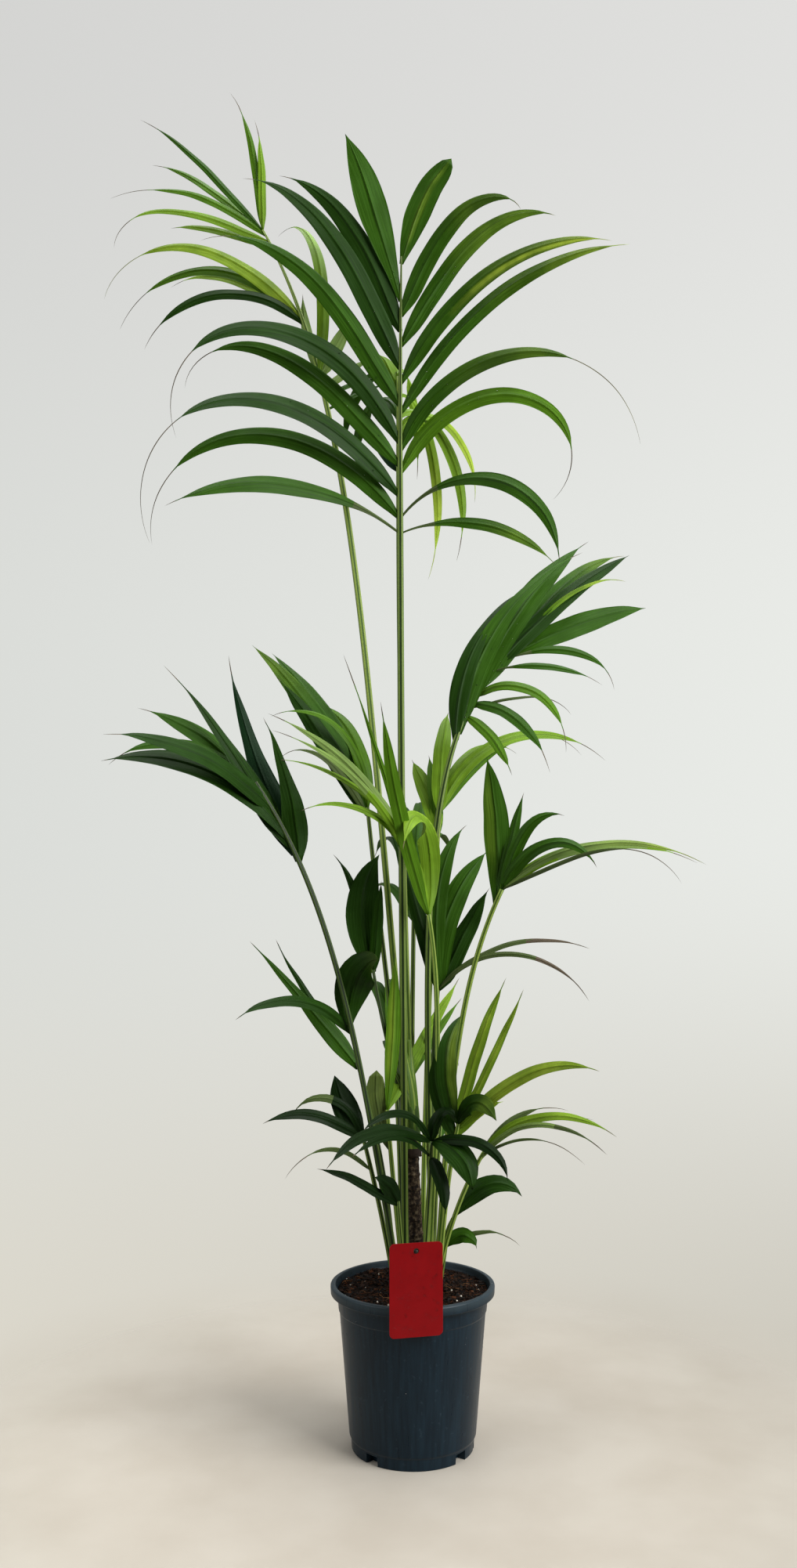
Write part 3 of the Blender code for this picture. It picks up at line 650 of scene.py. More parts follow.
def width_at(shape, share):
    """The shape's width there, with its corners eased."""
    near = [min(max(share + ease * min(1, (1 - share) * 12), 0), 1) for ease in (-0.05, 0, 0.05)]
    return sum(level(shape, s) for s in near) / 3


# Living palm leaf: waxy, with satin gloss, fine veins along it, and a slow mottle. One colour to a
# leaflet: nearly black green as painted shade for leaflets in the shade of the crown, deep green when
# grown, yellow-green when young. The underside is paler, and the tips dry to grey-brown threads. Where
# a blade is younger towards its tip, or along a streak, its colour turns slowly to yellow-green.
LEAF_COLOURS = {
    "shade": "0C2202",
    "deep": "1C3A05",
    "grown": "2E5309",
    "olive": "486F0F",
    "young": "688C1E",
    "lime": "7E9E2C",
    "fresh": "8DB03E",
    "sage": "728C46",
    "dull": "49592E",
    "dry": "5A5040",
    "blue": "16331A",
}
# Darkest first: the painted shade of the crown, then deep green and the ages of a leaflet.
SHADE_THEN_AGES = ("shade", "deep", "grown", "olive", "young", "lime", "fresh")
UNDERSIDE = {**dict(zip(SHADE_THEN_AGES, SHADE_THEN_AGES[1:])), "blue": "grown"}  # the others are alike on both sides
VEIN_WIDTH = 1.3 * MM  # drawn about twice as coarse as life, so that it shows


def shaded(hexcode, share, extra=0.0):
    """The colour with its light cut or raised to this share."""
    return (*[min(1, c * share + extra) for c in linear(hexcode)[:3]], 1)


leaf_finishes = {}
for tint, hexcode in LEAF_COLOURS.items():
    leaf_finishes[tint], tree, shader = new_finish(
        "palm_leaf_" + tint, {"IOR": 1.45, "Specular IOR Level": 0.1}
    )
    along_blade = add_node(tree, "UVMap", {}, uv_map="blade_metres")
    vein_place = add_node(
        tree, "Mapping", {"Vector": along_blade, "Scale": (1 / VEIN_WIDTH, 1 / (90 * MM), 1)}
    )
    veins, vein_share, veined = flecks(
        tree, vein_place, 1, 2, 0.35, 0.65, shaded(hexcode, 0.78), shaded(hexcode, 1.28, 0.004)
    )
    youth = add_node(tree, "SeparateXYZ", {0: add_node(tree, "UVMap", {}, uv_map="youth")})
    streaky = add_node(
        tree,
        "Math",
        {0: youth.outputs["X"], 1: vein_share, 2: youth.outputs["Y"]},
        operation="MULTIPLY_ADD",
    )
    freshened = add_node(tree, "Mix", {0: streaky, 6: veined, 7: "A2BA3C"}, data_type="RGBA")
    place = add_node(tree, "TexCoord", {}).outputs["Object"]
    mottled = flecks(tree, place, 38 * MM, 3, 0.4, 0.62, freshened, shaded(hexcode, 0.72), 0.55)[2]
    leaf_gloss = add_node(
        tree,
        "MapRange",
        {"Value": veins, "From Min": 0.3, "From Max": 0.7, "To Min": 0.36, "To Max": 0.52},
    )
    raised = add_node(tree, "Bump", {"Height": veins, "Strength": 0.35, "Distance": 0.3 * MM})
    feed(tree, shader, {"Base Color": mottled, "Roughness": leaf_gloss, "Normal": raised})
LEAF_ORDER = list(LEAF_COLOURS)
wet_spots = []  # (wetness, place, way out of the blade) where the sprayer's water may sit


def blade(work, maps, start, heading, length, rise, bend, power, width, face, dealer, tint, look):
    """One leaflet: a thin closed blade, folded along its midrib and ridged along its veins."""
    wisp, shape = look.get("wisp", 0.07), look.get("shape", USUAL)
    width *= FULLNESS
    fold = look.get("fold", dealer.uniform(5, 14))
    twist = look.get("twist", dealer.uniform(-14, 14))
    roll = look.get("roll", 0) + dealer.uniform(-8, 8)
    seed = dealer.uniform(0, 100)
    stations = max(12, round(length / STATION_STEP))
    points, ways = arch(start, heading, rise, length, bend, power, stations)
    ridges = max(2, min(MOST_RIDGES, round(width / 2 / RIDGE_SPACING)))
    inner = min(0.25, MIDRIB_HALF / (width / 2))
    half = [(inner + (1 - inner) * k / ridges, 1 if k % 2 else -1) for k in range(ridges + 1)]
    across = [(-x, ridge) for x, ridge in reversed(half)] + [(0, MIDRIB_RISE)] + half
    ridge_rise = RIDGE_RISE + RIDGE_RISE_SHARE * width
    loops = []
    for i in range(stations):
        share = i / stations
        reach = share / (1 - wisp)
        wide = width * width_at(shape, reach) if reach < 1 else 0
        thread = WISP_WIDTH * min(1, (1 - share) / max(wisp, 0.01) * 1.2 + 0.15)
        wide = max(wide, thread if share > 0.5 else 0)
        up = (face - ways[i] * face.dot(ways[i])).normalized()
        side = ways[i].cross(up)
        wander = 5 * noise.noise(Vector((seed, share * 4, 0)))
        turn = radians(roll * (1 - share) ** 2 + twist * share + wander)
        side, up = side * cos(turn) + up * sin(turn), up * cos(turn) - side * sin(turn)
        lean = radians(fold + ROOT_FOLD * exp(-share / ROOT_FOLD_LENGTH))
        sway = min(1, share * 6, (1 - share) * 6)
        middle = points[i] + side * (SIDE_SWAY * sway * noise.noise(Vector((seed, 0, share * 5))))
        middle += up * (UP_SWAY * sway * noise.noise(Vector((0, seed, share * 4))))
        room = min(1, wide / width * 1.3)  # the ridges flatten where the blade is narrow
        upper, lower = [], []
        for x, ridge in across:
            flutter = FLUTTER * abs(x) * noise.noise(Vector((seed + x, share * 9, 5)))
            out = side * (x * wide / 2 * cos(lean)) - up * (abs(x) * wide / 2 * (sin(lean) + flutter))
            at_margin = abs(x) > 0.99
            lift = ridge_rise * ridge * room * (0.35 if at_margin else 1)
            upper.append(middle + out + up * lift)
            if not at_margin:
                lower.append(middle + out + up * (lift - BLADE_THICKNESS * (0.4 + 0.6 * room)))
        loops.append(([work.verts.new(p) for p in upper + lower[::-1]], wide, share))
        if "wet" in look and 0.02 < share < WET_END:
            for one, other in zip(upper[1:], upper[2:]):
                wet_spots.append((look["wet"], one.lerp(other, 0.5), up.copy()))
    tip = work.verts.new(points[-1])
    count, top = len(loops[0][0]), len(across)
    streak, stops = look.get("streak"), look.get("youth", ((0, 0),))

    def youth_at(j, share):
        """How much the blade has turned to yellow-green at this point across and along it."""
        amount = level(stops, share)
        if streak and j < top:
            first, last, middle, half_width, most = streak
            near = max(0, 1 - abs(across[j][0] - middle) / (half_width * 1.6))
            ends = ((first, 0), (first + 0.2, 1), (last - 0.1, 1), (last, 0.4))
            amount += most * min(1, near * 1.6) * level(ends, share)
        return min(amount, 1)

    def paint(new_face, j, share, corners):
        """Deals the face its colour, and its corners (number, width, share) their two maps."""
        name = tint if j < top - 1 else UNDERSIDE.get(tint, tint)
        for place, tip_tint in look.get("tips", ()):
            if share > place + 0.02 * noise.noise(Vector((seed, j * 0.7, 3))):
                name = tip_tint
        if shape is STEMMED and share < 0.2:
            name = "dull"
        if share > 1 - wisp:
            name = "dry"
        new_face.material_index = LEAF_ORDER.index(name)
        for loop, (k, wide, s) in zip(new_face.loops, corners):
            k %= count
            amount = youth_at(k, s)
            over_or_under = across[k if k < top else 2 * (top - 1) - k][0]
            loop[maps[0]].uv = (seed + over_or_under * wide / 2, s * length)
            loop[maps[1]].uv = (amount * 0.5, amount * 0.75)

    work.faces.new(loops[0][0][::-1]).material_index = LEAF_ORDER.index(tint)
    for made, i, j in skin(work, [verts for verts, _, _ in loops]):
        (_, wide0, share0), (_, wide1, share1) = loops[i : i + 2]
        near, far = (wide0, share0), (wide1, share1)
        paint(made, j, share0, ((j, *near), (j + 1, *near), (j + 1, *far), (j, *far)))
    last, wide, share = loops[-1]
    for j in range(count):
        made = work.faces.new((last[j], last[(j + 1) % count], tip))
        paint(made, j, share, ((j, wide, share), (j + 1, wide, share), (j + 1, 0, 1)))
    for (one, _, _), (other, _, _) in zip(loops, loops[1:]):
        for margin in (0, top - 1):
            work.edges.get((one[margin], other[margin])).smooth = False


# Leaf stalk: smooth and waxy, channelled on its upper side. The channel is painted dark, painted shade in
# the groove; its two edges are painted yellow-green, painted highlights along its sides; and the back is
# mid-green with fine streaks. The foot is sheathed in dry brown fibre.
STALK_COLOURS = {
    "channel": "1C300C",
    "edge": "6A8036",
    "back": "38541A",
    "young_channel": "426018",
    "young_edge": "8AA046",
    "young_back": "527422",
    # Painted shade: darker copies of the stalk colours, for the stalks that stand in shade.
    "dark_channel": "16260C",
    "dark_edge": "3E5222",
    "dark_back": "263C14",
    "sheath": "352820",
}
STALK_SIDES = 16
STALK_SHAPE = ((0.0, 1.2), (0.1, 1.28), (0.72, 1.2))  # its thickness along it, then a taper to its tip
CHANNEL_DEPTH, CHANNEL_HALF = 0.34, 0.55  # the depth next to the radius, the half in radians
CHANNEL_END, EDGE_END = 0.45, 1.25  # radians from its middle where each of these colours ends
FOOT_SHEATH = 12 * MM
FOOT_SWELL, SWELL_LENGTH = 0.22, 20 * MM  # the sheathed foot swells by this share over this length
stalk_finishes = {}
for tint, hexcode in STALK_COLOURS.items():
    stalk_finishes[tint], tree, shader = new_finish(
        "palm_stalk_" + tint, {"IOR": 1.45, "Specular IOR Level": 0.35}
    )
    place = add_node(tree, "TexCoord", {}).outputs["Object"]
    streak_place = add_node(
        tree, "Mapping", {"Vector": place, "Scale": (1 / (1.5 * MM), 1 / (1.5 * MM), 1 / (25 * MM))}
    )
    streaks, _, streaked = flecks(
        tree, streak_place, 1, 3, 0, 1, shaded(hexcode, 0.7), shaded(hexcode, 1.3)
    )
    speckled = flecks(tree, place, 2.2 * MM, 2, 0.66, 0.72, streaked, "3A2C1C", 0.5)[2]
    stalk_gloss = add_node(tree, "MapRange", {"Value": streaks, "To Min": 0.34, "To Max": 0.6})
    feed(tree, shader, {"Base Color": speckled, "Roughness": stalk_gloss})
STALK_ORDER = list(STALK_COLOURS)


def stem(work, points, ways, foot_radius, slimming, face, kind, dealer, sheath_top):
    """A stalk and rib: a tapering rod with a channel along the side that the blades face."""
    # A dark stalk takes the painted-shade copies of the colours.
    prefix = "" if kind == "grown" else kind + "_"
    loops = []
    for i, point in enumerate(points):
        up = (face - ways[i] * face.dot(ways[i])).normalized()
        side = ways[i].cross(up)
        radius = foot_radius * width_at((*STALK_SHAPE, (1.0, slimming)), i / (len(points) - 1))
        if point.z < sheath_top:
            radius *= 1 + FOOT_SWELL * min(1, (sheath_top - point.z) / SWELL_LENGTH)
        loop = []
        for turn in turns(STALK_SIDES):
            hollow = min(turn, 2 * pi - turn) / CHANNEL_HALF
            flat_back = 0.93 if pi / 2 < turn < 3 * pi / 2 else 1
            here = radius * (1 - CHANNEL_DEPTH * exp(-hollow * hollow)) * flat_back
            loop.append(work.verts.new(point + (up * cos(turn) + side * sin(turn)) * here))
        loops.append(loop)
    sheath_edge = [sheath_top * dealer.uniform(0.985, 1.03) for _ in range(STALK_SIDES)]
    for made, i, j in skin(work, loops):
        turn = min(j + 0.5, STALK_SIDES - j - 0.5) * 2 * pi / STALK_SIDES
        # The channel's dark colour is painted shade in the groove, and the edges' paler colour painted
        # highlights.
        name = prefix + ("channel" if turn < CHANNEL_END else "edge" if turn < EDGE_END else "back")
        if loops[i][j].co.z < sheath_edge[j]:
            name = "sheath"
        made.material_index = STALK_ORDER.index(name)
    work.faces.new(loops[0][::-1]).material_index = STALK_ORDER.index("sheath")
    work.faces.new(loops[-1]).material_index = STALK_ORDER.index(prefix + "back")


stalk_arches = {}  # the foot, arch and radius of each stalk


def frond(
    name, foot, heading, rise, length, bend, power, radius, face, tints, leaflets,
    base=STALK_FOOT, stalk="grown", slimming=1.0,
):
    """One frond, as a stalk piece and a leaflet piece that stand for its solid.

    foot and length are in centimetres, radius in millimetres. Each leaflet is (how far along the
    stalk, heading, length, rise, bend, power, width), in centimetres and degrees, its width in
    millimetres. Then come its colour, dealt from tints where none is named, and what else is its
    own: wisp, shape, fold, twist, roll, youth, streak, tips, wet.
    """
    dealer = random.Random(name)
    look_at = Vector(face).normalized()
    tilt = radius * MM * abs(cos(radians(rise)))
    start = (foot[0] * CM, foot[1] * CM, base + tilt)
    steps = max(12, round(length * CM / STALK_STATION_STEP))
    points, ways = arch(start, heading, rise, length * CM, bend, power, steps)
    work = bmesh.new()
    stem(work, points, ways, radius * MM, slimming, look_at, stalk, dealer, base + FOOT_SHEATH)
    stalk_arches[name] = (foot, heading, rise, length, bend, power, radius)
    add_piece(name + "_stalk", work, [stalk_finishes[tint] for tint in STALK_ORDER], [name])
    work = bmesh.new()
    maps = [work.loops.layers.uv.new(name_of_map) for name_of_map in ("blade_metres", "youth")]
    for place, turn, long, climb, droop, ease, wide, *own in leaflets:
        named = own[0] if own else None
        look = own[1] if len(own) > 1 else {}
        dealt = dealer.choice(tints)
        tint, root = named or dealt, along(points, place / length)
        growth = (turn, long * CM, climb, droop, ease, wide * MM)
        blade(work, maps, root, *growth, look_at, dealer, tint, look)
    add_piece(name + "_leaflets", work, [leaf_finishes[tint] for tint in LEAF_ORDER], [name])


# ==== Tall fronds ====
# The three fronds that reach the top: a broad green one in front, a yellow-green one behind it on
# the left, and a young one whose leaflets still hang down.
frond(
    "frond_tall_front", (-0.9, -1.6), 107, 88.5, 133, -4, 4, 3.6, (0, -1, 0.25),
    ("deep", "deep", "grown"),
    [
        (96, 205, 33, 32, 65, 1, 21, "grown", dict(shape=STEMMED, wet=1)),
        (98, 190, 44.5, 49, 150, 1.5, 22, "grown", dict(wisp=0.24, wet=2)),
        (101, 208, 51, 44, 160, 1.5, 23, None, dict(wisp=0.34, wet=2)),
        (105, 188, 36.5, 48, 135, 3, 22, None, dict(wisp=0.18, wet=2)),
        (108, 204, 46, 58, 170, 1.5, 23, None, dict(wisp=0.26, wet=3)),
        (113, 190, 36, 58, 85, 3, 23, None, dict(wisp=0.12, wet=2)),
        (118, 202, 32.5, 63, 75, 3, 24, None, dict(wet=2)),
        (123, 188, 27, 67, 65, 3, 24),
        (127, 197, 23, 73, 10, 3, 33, None, dict(shape=BROAD_TOP, wisp=0.02, fold=6, twist=-4, wet=3)),
        (
            132, 350, 15.5, 74, 30, 2, 29, "grown",
            dict(shape=BLUNT, wisp=0.004, fold=5, streak=(0.05, 0.95, 0.1, 0.14, 0.2)),
        ),
        (125, 335, 24.5, 62, 130, 3, 20, "grown", dict(wisp=0.09, wet=2, youth=((0.46, 0), (0.72, 0.13)))),
        (121, 352, 28.5, 59, 85, 3, 20, "grown", dict(wisp=0.04, wet=6, youth=((0.36, 0), (0.62, 0.13)))),
        (
            116, 338, 34.5, 58, 80, 1.5, 20, "grown",
            dict(
                wisp=0.05,
                wet=3,
                youth=((0.36, 0), (0.62, 0.13), (0.86, 0.36)),
                streak=(0.3, 1, 0.45, 0.26, 0.8),
            ),
        ),
        (
            112, 350, 38, 58, 60, 1.5, 19, "grown",
            dict(wisp=0.05, wet=7, youth=((0.41, 0), (0.67, 0.13), (0.9, 0.36), (1, 0.8))),
        ),
        (107, 335, 43.5, 68, 150, 1, 20, "grown", dict(wisp=0.36, wet=6, youth=((0.21, 0), (0.47, 0.13)))),
        (104, 350, 37.5, 61, 200, 1.5, 19, "olive", dict(wisp=0.2, wet=5)),
        (98, 334, 29.5, 47, 135, 1, 18, "grown", dict(shape=STEMMED, wisp=0.04)),
        (
            96, 350, 22, 21, 70, 1, 15, "grown",
            dict(shape=STEMMED, wisp=0.06, youth=((0.46, 0), (0.72, 0.13))),
        ),
    ],
    slimming=0.3,
)
frond(
    "frond_tall_left", (-0.7, 0.4), 157, 84.5, 122, 24, 4, 3.3, (0.2, -1, 0.4),
    ("olive", "grown", "young"),
    [
        (122, 150, 23, 82, 30, 3, 9, "olive", dict(wisp=0.2)),
        (122, 128, 17.5, 88, 25, 3, 9, "young", dict(wisp=0.2)),
        (122, 165, 27, 50, 20, 3, 9, "grown", dict(wisp=0.12)),
        (122, 150, 25.5, 43, 25, 3, 11, "olive", dict(wisp=0.1)),
        (121, 172, 25, 41, 60, 1.5, 11, "olive", dict(wisp=0.25)),
        (120, 188, 24.5, 19, 110, 3, 12, "young", dict(wisp=0.22)),
        (119, 160, 17, 25, 25, 3, 13),
        (107, 176, 34.5, 47, 125, 2, 20, "young", dict(wisp=0.24, youth=((0, 0.6), (0.3, 0.36)))),
        (107, 165, 33, 48, 115, 1.5, 19, "olive", dict(wisp=0.2)),
        (106, 185, 26, 46, 115, 1, 15, "deep", dict(wisp=0.16)),
        (108, 152, 24.5, 34, 55, 3, 13, "fresh", dict(wisp=0.1)),
        (98, 120, 34, 103, 105, 1.5, 14, "young", dict(wisp=0.1)),
        (98, 30, 10.5, 62, 0, 3, 17, "sage", dict(wisp=0.05)),
        (96, 30, 9.5, 41, 10, 3, 9, "sage"),
        (95, 30, 9.5, 31, 17, 3, 6, "grown"),
        (93, 30, 11, 37, 13, 1, 6, "grown"),
        (99, 120, 13.5, 62, -29, 3, 12, "sage"),
    ],
    base=TRUNK_CROWN,
    stalk="young",
    slimming=0.5,
)
frond(
    "frond_tall_young", (-0.1, 1.1), 113, 84.5, 97, -6, 1, 2.8, (0.1, -1, 0.3),
    ("young", "fresh"),
    [
        (97, 76, 21.5, 88, 195, 0.5, 12, "young", dict(wisp=0.14)),
        (94, 66, 34, 64, 190, 0.5, 13, "young", dict(wisp=0.16, youth=((0.36, 0), (0.62, 0.8)))),
        (91, 50, 29.5, 80, 195, 0.5, 15, "young", dict(wisp=0.16)),
        (88, 40, 23.5, 95, 195, 0.7, 12, "young", dict(wisp=0.14, youth=((0.31, 0), (0.57, 0.8)))),
        (95, 130, 19, 92, 190, 0.7, 15, "grown"),
        (91, 120, 19.5, 74, 180, 1, 16, "grown"),
        (95, 145, 7, 70, 24, 1.5, 22, "young", dict(shape=OVAL)),
        (84, 145, 12, 56, -2, 1, 16, "blue"),
    ],
    base=TRUNK_CROWN,
    stalk="young",
)


# ==== Middle fronds ====
# Seven fronds at half height, their stalks fanned out from the middle of the pot. The grown ones
# are broad and dark, and the young ones slim and yellow-green.
frond(
    "frond_right_upper", (2.5, 1.4), 42, 91.5, 90, 70, 4, 3.2, (0, -1, 0.6),
    ("grown", "deep"),
    [
        (70, 42, 35, 90, 83, 1, 23, None, dict(shape=LONG_TIP, wisp=0.12, fold=3, twist=0, roll=0)),
        (71, 30, 35.5, 79, 54, 1, 31, "grown", dict(shape=LONG_TIP, fold=3, twist=0, wet=5)),
        (75, 33, 34, 62, 30, 1.5, 30, "grown", dict(shape=OVAL, fold=4, twist=0, wet=6)),
        (78, 36, 37, 48, 38, 3, 22, "grown", dict(fold=3, wet=3, youth=((0.66, 0), (0.92, 0.2)))),
        (85, 15, 23, 47, 58, 3, 6, "olive", dict(wisp=0.08, youth=((0.4, 0), (0.6, 0.24), (0.8, 0.5)))),
        (83, 20, 27.5, 46, 20, 2, 22, "deep", dict(wisp=0.02)),
        (86, 12, 22, 27, 20, 2, 31, "grown", dict(shape=OVAL, wisp=0.02, fold=4, twist=0, wet=2)),
        (85, 350, 18, 15, 99, 2, 12, "grown", dict(shape=STEMMED, wisp=0.18)),
        (82, 340, 16, 15, 50, 1, 11, "grown", dict(shape=STEMMED, wisp=0.16)),
        (77, 330, 19, 30, 124, 1, 14, "olive", dict(wisp=0.2)),
        (76, 320, 17, -5, 68, 1, 15, None, dict(wisp=0.2)),
        (75, 5, 15, 15, 75, 3, 4, "dull", dict(wisp=0.3)),
        (74, 315, 12, -27, 40, 1, 13, "olive", dict(wisp=0.12)),
    ],
    slimming=0.5,
)
frond(
    "frond_right_arching", (1.2, 3.9), 40, 88.5, 60, 4, 1.5, 2.6, (0, -1, 0.6),
    ("young", "fresh"),
    [
        (60, 25, 32, 70, 107, 1, 14, "young", dict(wisp=0.16)),
        (60, 38, 31.5, 47, 86, 2, 8, "olive", dict(wisp=0.18)),
        (60, 55, 25, 67, 85, 1, 15, "young", dict(wisp=0.1)),
        (60, 80, 18, 88, 60, 1, 18, "young", dict(fold=4)),
        (58, 120, 12, 64, 20, 1, 20, "young", dict(fold=5)),
        (57, 100, 13, 76, 30, 1, 15, "olive"),
    ],
    stalk="young",
)
frond(
    "frond_left_upper", (-1.4, -3.2), 204, 79.5, 66, 26, 3, 2.8, (0.2, -1, 0.7),
    ("blue", "deep", "grown"),
    [
        (58, 212, 26.5, 54, 69, 1, 29, "deep", dict(shape=OVAL, wisp=0.05, fold=4)),
        (63, 200, 22, 49, 94, 1.5, 16, "grown", dict(wisp=0.12, fold=6)),
        (62, 225, 25.5, 40, 46, 1, 23, "deep", dict(wisp=0.1, fold=5)),
        (59, 195, 23.5, 58, 47, 1.5, 25, "grown", dict(wisp=0.08)),
        (57, 205, 26.5, 56, 14, 3, 26, "deep", dict(shape=LONG_TIP, wisp=0.12)),
        (56, 190, 25.5, 66, -15, 2, 30, "blue", dict(shape=LONG_TIP, wisp=0.1)),
        (55, 235, 18.5, 86, 36, 1, 27, "deep", dict(shape=LONG_TIP)),
    ],
    stalk="dark",
)
frond(
    "frond_centre_left", (-1.1, 1.0), 150, 81, 39, -2, 1, 2.6, (0.2, -1, 0.6),
    ("grown", "olive"),
    [
        (
            39, 168, 27.5, 67, 26, 1, 25, "grown",
            dict(shape=OVAL, wisp=0.02, fold=3, youth=((0.56, 0), (0.82, 0.13))),
        ),
        (39, 150, 27, 69, 29, 1, 25, "grown", dict(shape=OVAL, wisp=0.02, fold=4)),
        (38, 178, 22, 63, 13, 1, 22, "deep"),
        (39, 130, 21.5, 92, 85, 1, 18),
        (39, 195, 21, 88, 118, 1.5, 9, "olive", dict(wisp=0.1)),
        (38, 188, 16, 58, 115, 3, 9, "dull", dict(wisp=0.16)),
    ],
    base=TRUNK_CROWN,
)
frond(
    "frond_centre_front", (1.8, -3.4), 232, 95, 47, 21, 3.5, 2.8, (0.1, -1, 0.5),
    ("young", "olive"),
    [
        (47, 215, 34.5, 76, 61, 1, 12, "young", dict(wisp=0.08, tips=((0.35, "sage"),))),
        (47, 228, 35.5, 70, 64, 1, 9, "young", dict(wisp=0.1, tips=((0.5, "sage"),))),
        (47, 205, 30.5, 85, 86, 1, 8, "young"),
        (47, 222, 27.5, 84, 107, 1, 9, "young"),
        (47, 235, 35, 61, 5, 3, 12, "olive", dict(shape=LONG_TIP, wisp=0.12)),
        (47, 250, 30, 43, -25, 1, 16, "olive"),
        (
            47, 255, 25, 128, 195, 1, 24, "young",
            dict(shape=OVAL, fold=4, twist=0, youth=((0.41, 0), (0.67, 0.12))),
        ),
    ],
    stalk="young",
)
frond(
    "frond_right_middle", (2.8, -1.2), 336, 85.5, 51, 23, 3, 2.8, (0, -1, 0.6),
    ("grown", "olive"),
    [
        (
            49, 60, 18.5, 77, -40, 1, 26, "grown",
            dict(shape=OVAL, wisp=0.02, fold=4, twist=0, streak=(0.1, 0.95, -0.5, 0.35, 0.13)),
        ),
        (50, 20, 13.5, 76, 5, 3, 12),
        (51, 340, 13.5, 72, 100, 3, 14),
        (51, 325, 16.5, 60, 125, 1.5, 14),
        (51, 350, 25.5, 43, 71, 1, 12, "young", dict(wisp=0.14, tips=((0.3, "sage"), (0.75, "young")))),
        (51, 335, 27, 42, 71, 1, 8, "sage", dict(wisp=0.12, youth=((0.46, 0), (0.72, 0.36)))),
        (51, 318, 27, 21, 80, 3, 5, "dull", dict(wisp=0.3)),
    ],
    stalk="young",
)
frond(
    "frond_centre_right", (2.2, 2.2), 30, 90, 37, 6, 2, 2.6, (0, -1, 0.6),
    ("deep", "grown"),
    [
        (37, 55, 24.5, 96, 75, 2, 21, "grown", dict(shape=OVAL, fold=5)),
        (37, 35, 21.5, 94, 60, 1, 26, None, dict(fold=5)),
        (37, 15, 15, 64, 10, 3, 22),
        (37, 5, 22, 50, 71, 1, 6, "dull", dict(wisp=0.08, tips=((0.6, "dry"),))),
        (37, 345, 23, 54, 114, 1, 6, "dull", dict(wisp=0.12, tips=((0.6, "dry"),))),
        (37, 140, 22.5, 72, 15, 3, 16, "deep"),
    ],
    stalk="dark",
)


# ==== Low fronds ====
# The seedling palms round the trunk: short stalks with a few broad, dark leaflets, and the young
# fans on the right.
frond(
    "frond_left_middle", (-1.5, -1.2), 213, 80, 34.3, 6.4, 1.5, 2.6, (0.1, -1, 0.6),
    ("deep",),
    [
        (
            34, 304, 12, 102, 98, 1, 38, "deep",
            dict(shape=OVAL, wisp=0.01, fold=4, twist=-24, roll=-28, youth=((0.7, 0), (0.96, 0.12))),
        ),
        (33, 222, 19, 49, 79, 1, 13, "deep"),
    ],
)
frond(
    "frond_left_slim", (-2.1, -0.2), 185, 87, 28.8, 15, 1.2, 2.2, (0.1, -1, 0.6),
    ("deep", "blue"),
    [
        (28, 182, 21, 52, 6, 1, 20, "grown", dict(shape=LONG_TIP, fold=4)),
        (28, 165, 19.5, 52, -12, 3, 15, "deep", dict(shape=LONG_TIP)),
    ],
    stalk="dark",
)
frond(
    "frond_inner_left", (-1.0, -0.35), 190, 76, 18.4, -5, 2.5, 2.0, (0.1, -1, 0.5),
    ("shade", "deep"),
    [
        (18, 200, 15.5, 71, -55, 1.5, 34, "deep", dict(shape=OVAL, wisp=0.02, fold=4, twist=0, roll=0)),
        (18, 290, 12, 77, 5, 3, 12, None, dict(fold=5)),
        (18, 180, 16, 79, 33, 3, 10),
    ],
    base=TRUNK_CROWN,
    stalk="dark",
)
frond(
    "leaf_spear", (-0.9, -2.6), 200, 83.5, 23, -2, 2.5, 2.4, (0.1, -1, 0.3),
    ("young",),
    [
        (
            23, 250, 19.5, 107, 18, 1, 15, "olive",
            dict(shape=OVAL, fold=8, streak=(0.1, 0.9, -0.3, 0.35, 0.36)),
        ),
        (23, 60, 24.5, 39, 3, 1, 13, "young", dict(fold=4, youth=((0.56, 0), (0.82, 0.13)))),
        (23, 60, 23.5, 33, 8, 3, 10, "olive"),
        (
            18, 165, 10, 63, -33, 1, 20, "dull",
            dict(shape=BLUNT, wisp=0.01, fold=4, youth=((0.3, 0), (0.9, 0.2))),
        ),
    ],
    stalk="young",
)
frond(
    "frond_left_low", (-2.0, -2.2), 206, 80, 20.5, 6, 1, 2.4, (0.1, -1, 0.7),
    ("shade", "deep"),
    [
        (20, 180, 8.5, 57, -20, 1.5, 26, "shade", dict(shape=OVAL, wisp=0.02, fold=5)),
        (20, 205, 14, 36, 60, 1.5, 12),
        (20, 190, 12, 73, 135, 1.5, 9, "shade", dict(wisp=0.1, tips=((0.5, "dull"),))),
        (16, 225, 15.5, 40, 90, 1.5, 6, "dull", dict(wisp=0.3)),
    ],
)
frond(
    "frond_front_low", (1.0, -4.5), 301, 82, 19.8, -6, 3, 2.6, (0.1, -0.8, 0.7),
    ("deep", "grown"),
    [
        (20, 235, 21.5, 24, 59, 1.5, 14, "shade", dict(wisp=0.06)),
        (20, 225, 13.5, 63, 102, 1, 10, "shade", dict(wisp=0.06)),
        (18, 240, 19, 38, 57, 1, 9, "shade", dict(wisp=0.06)),
        (20, 320, 9, 12, 100, 1, 27, "deep", dict(shape=OVAL, wisp=0.02, fold=8)),
        (20, 330, 12.5, 13, 102, 2, 12, "shade", dict(wisp=0.06)),
        (20, 335, 6.5, 79, 203, 3, 12, "shade"),
        (18, 300, 7.5, -30, 62, 1, 14, "shade"),
    ],
)
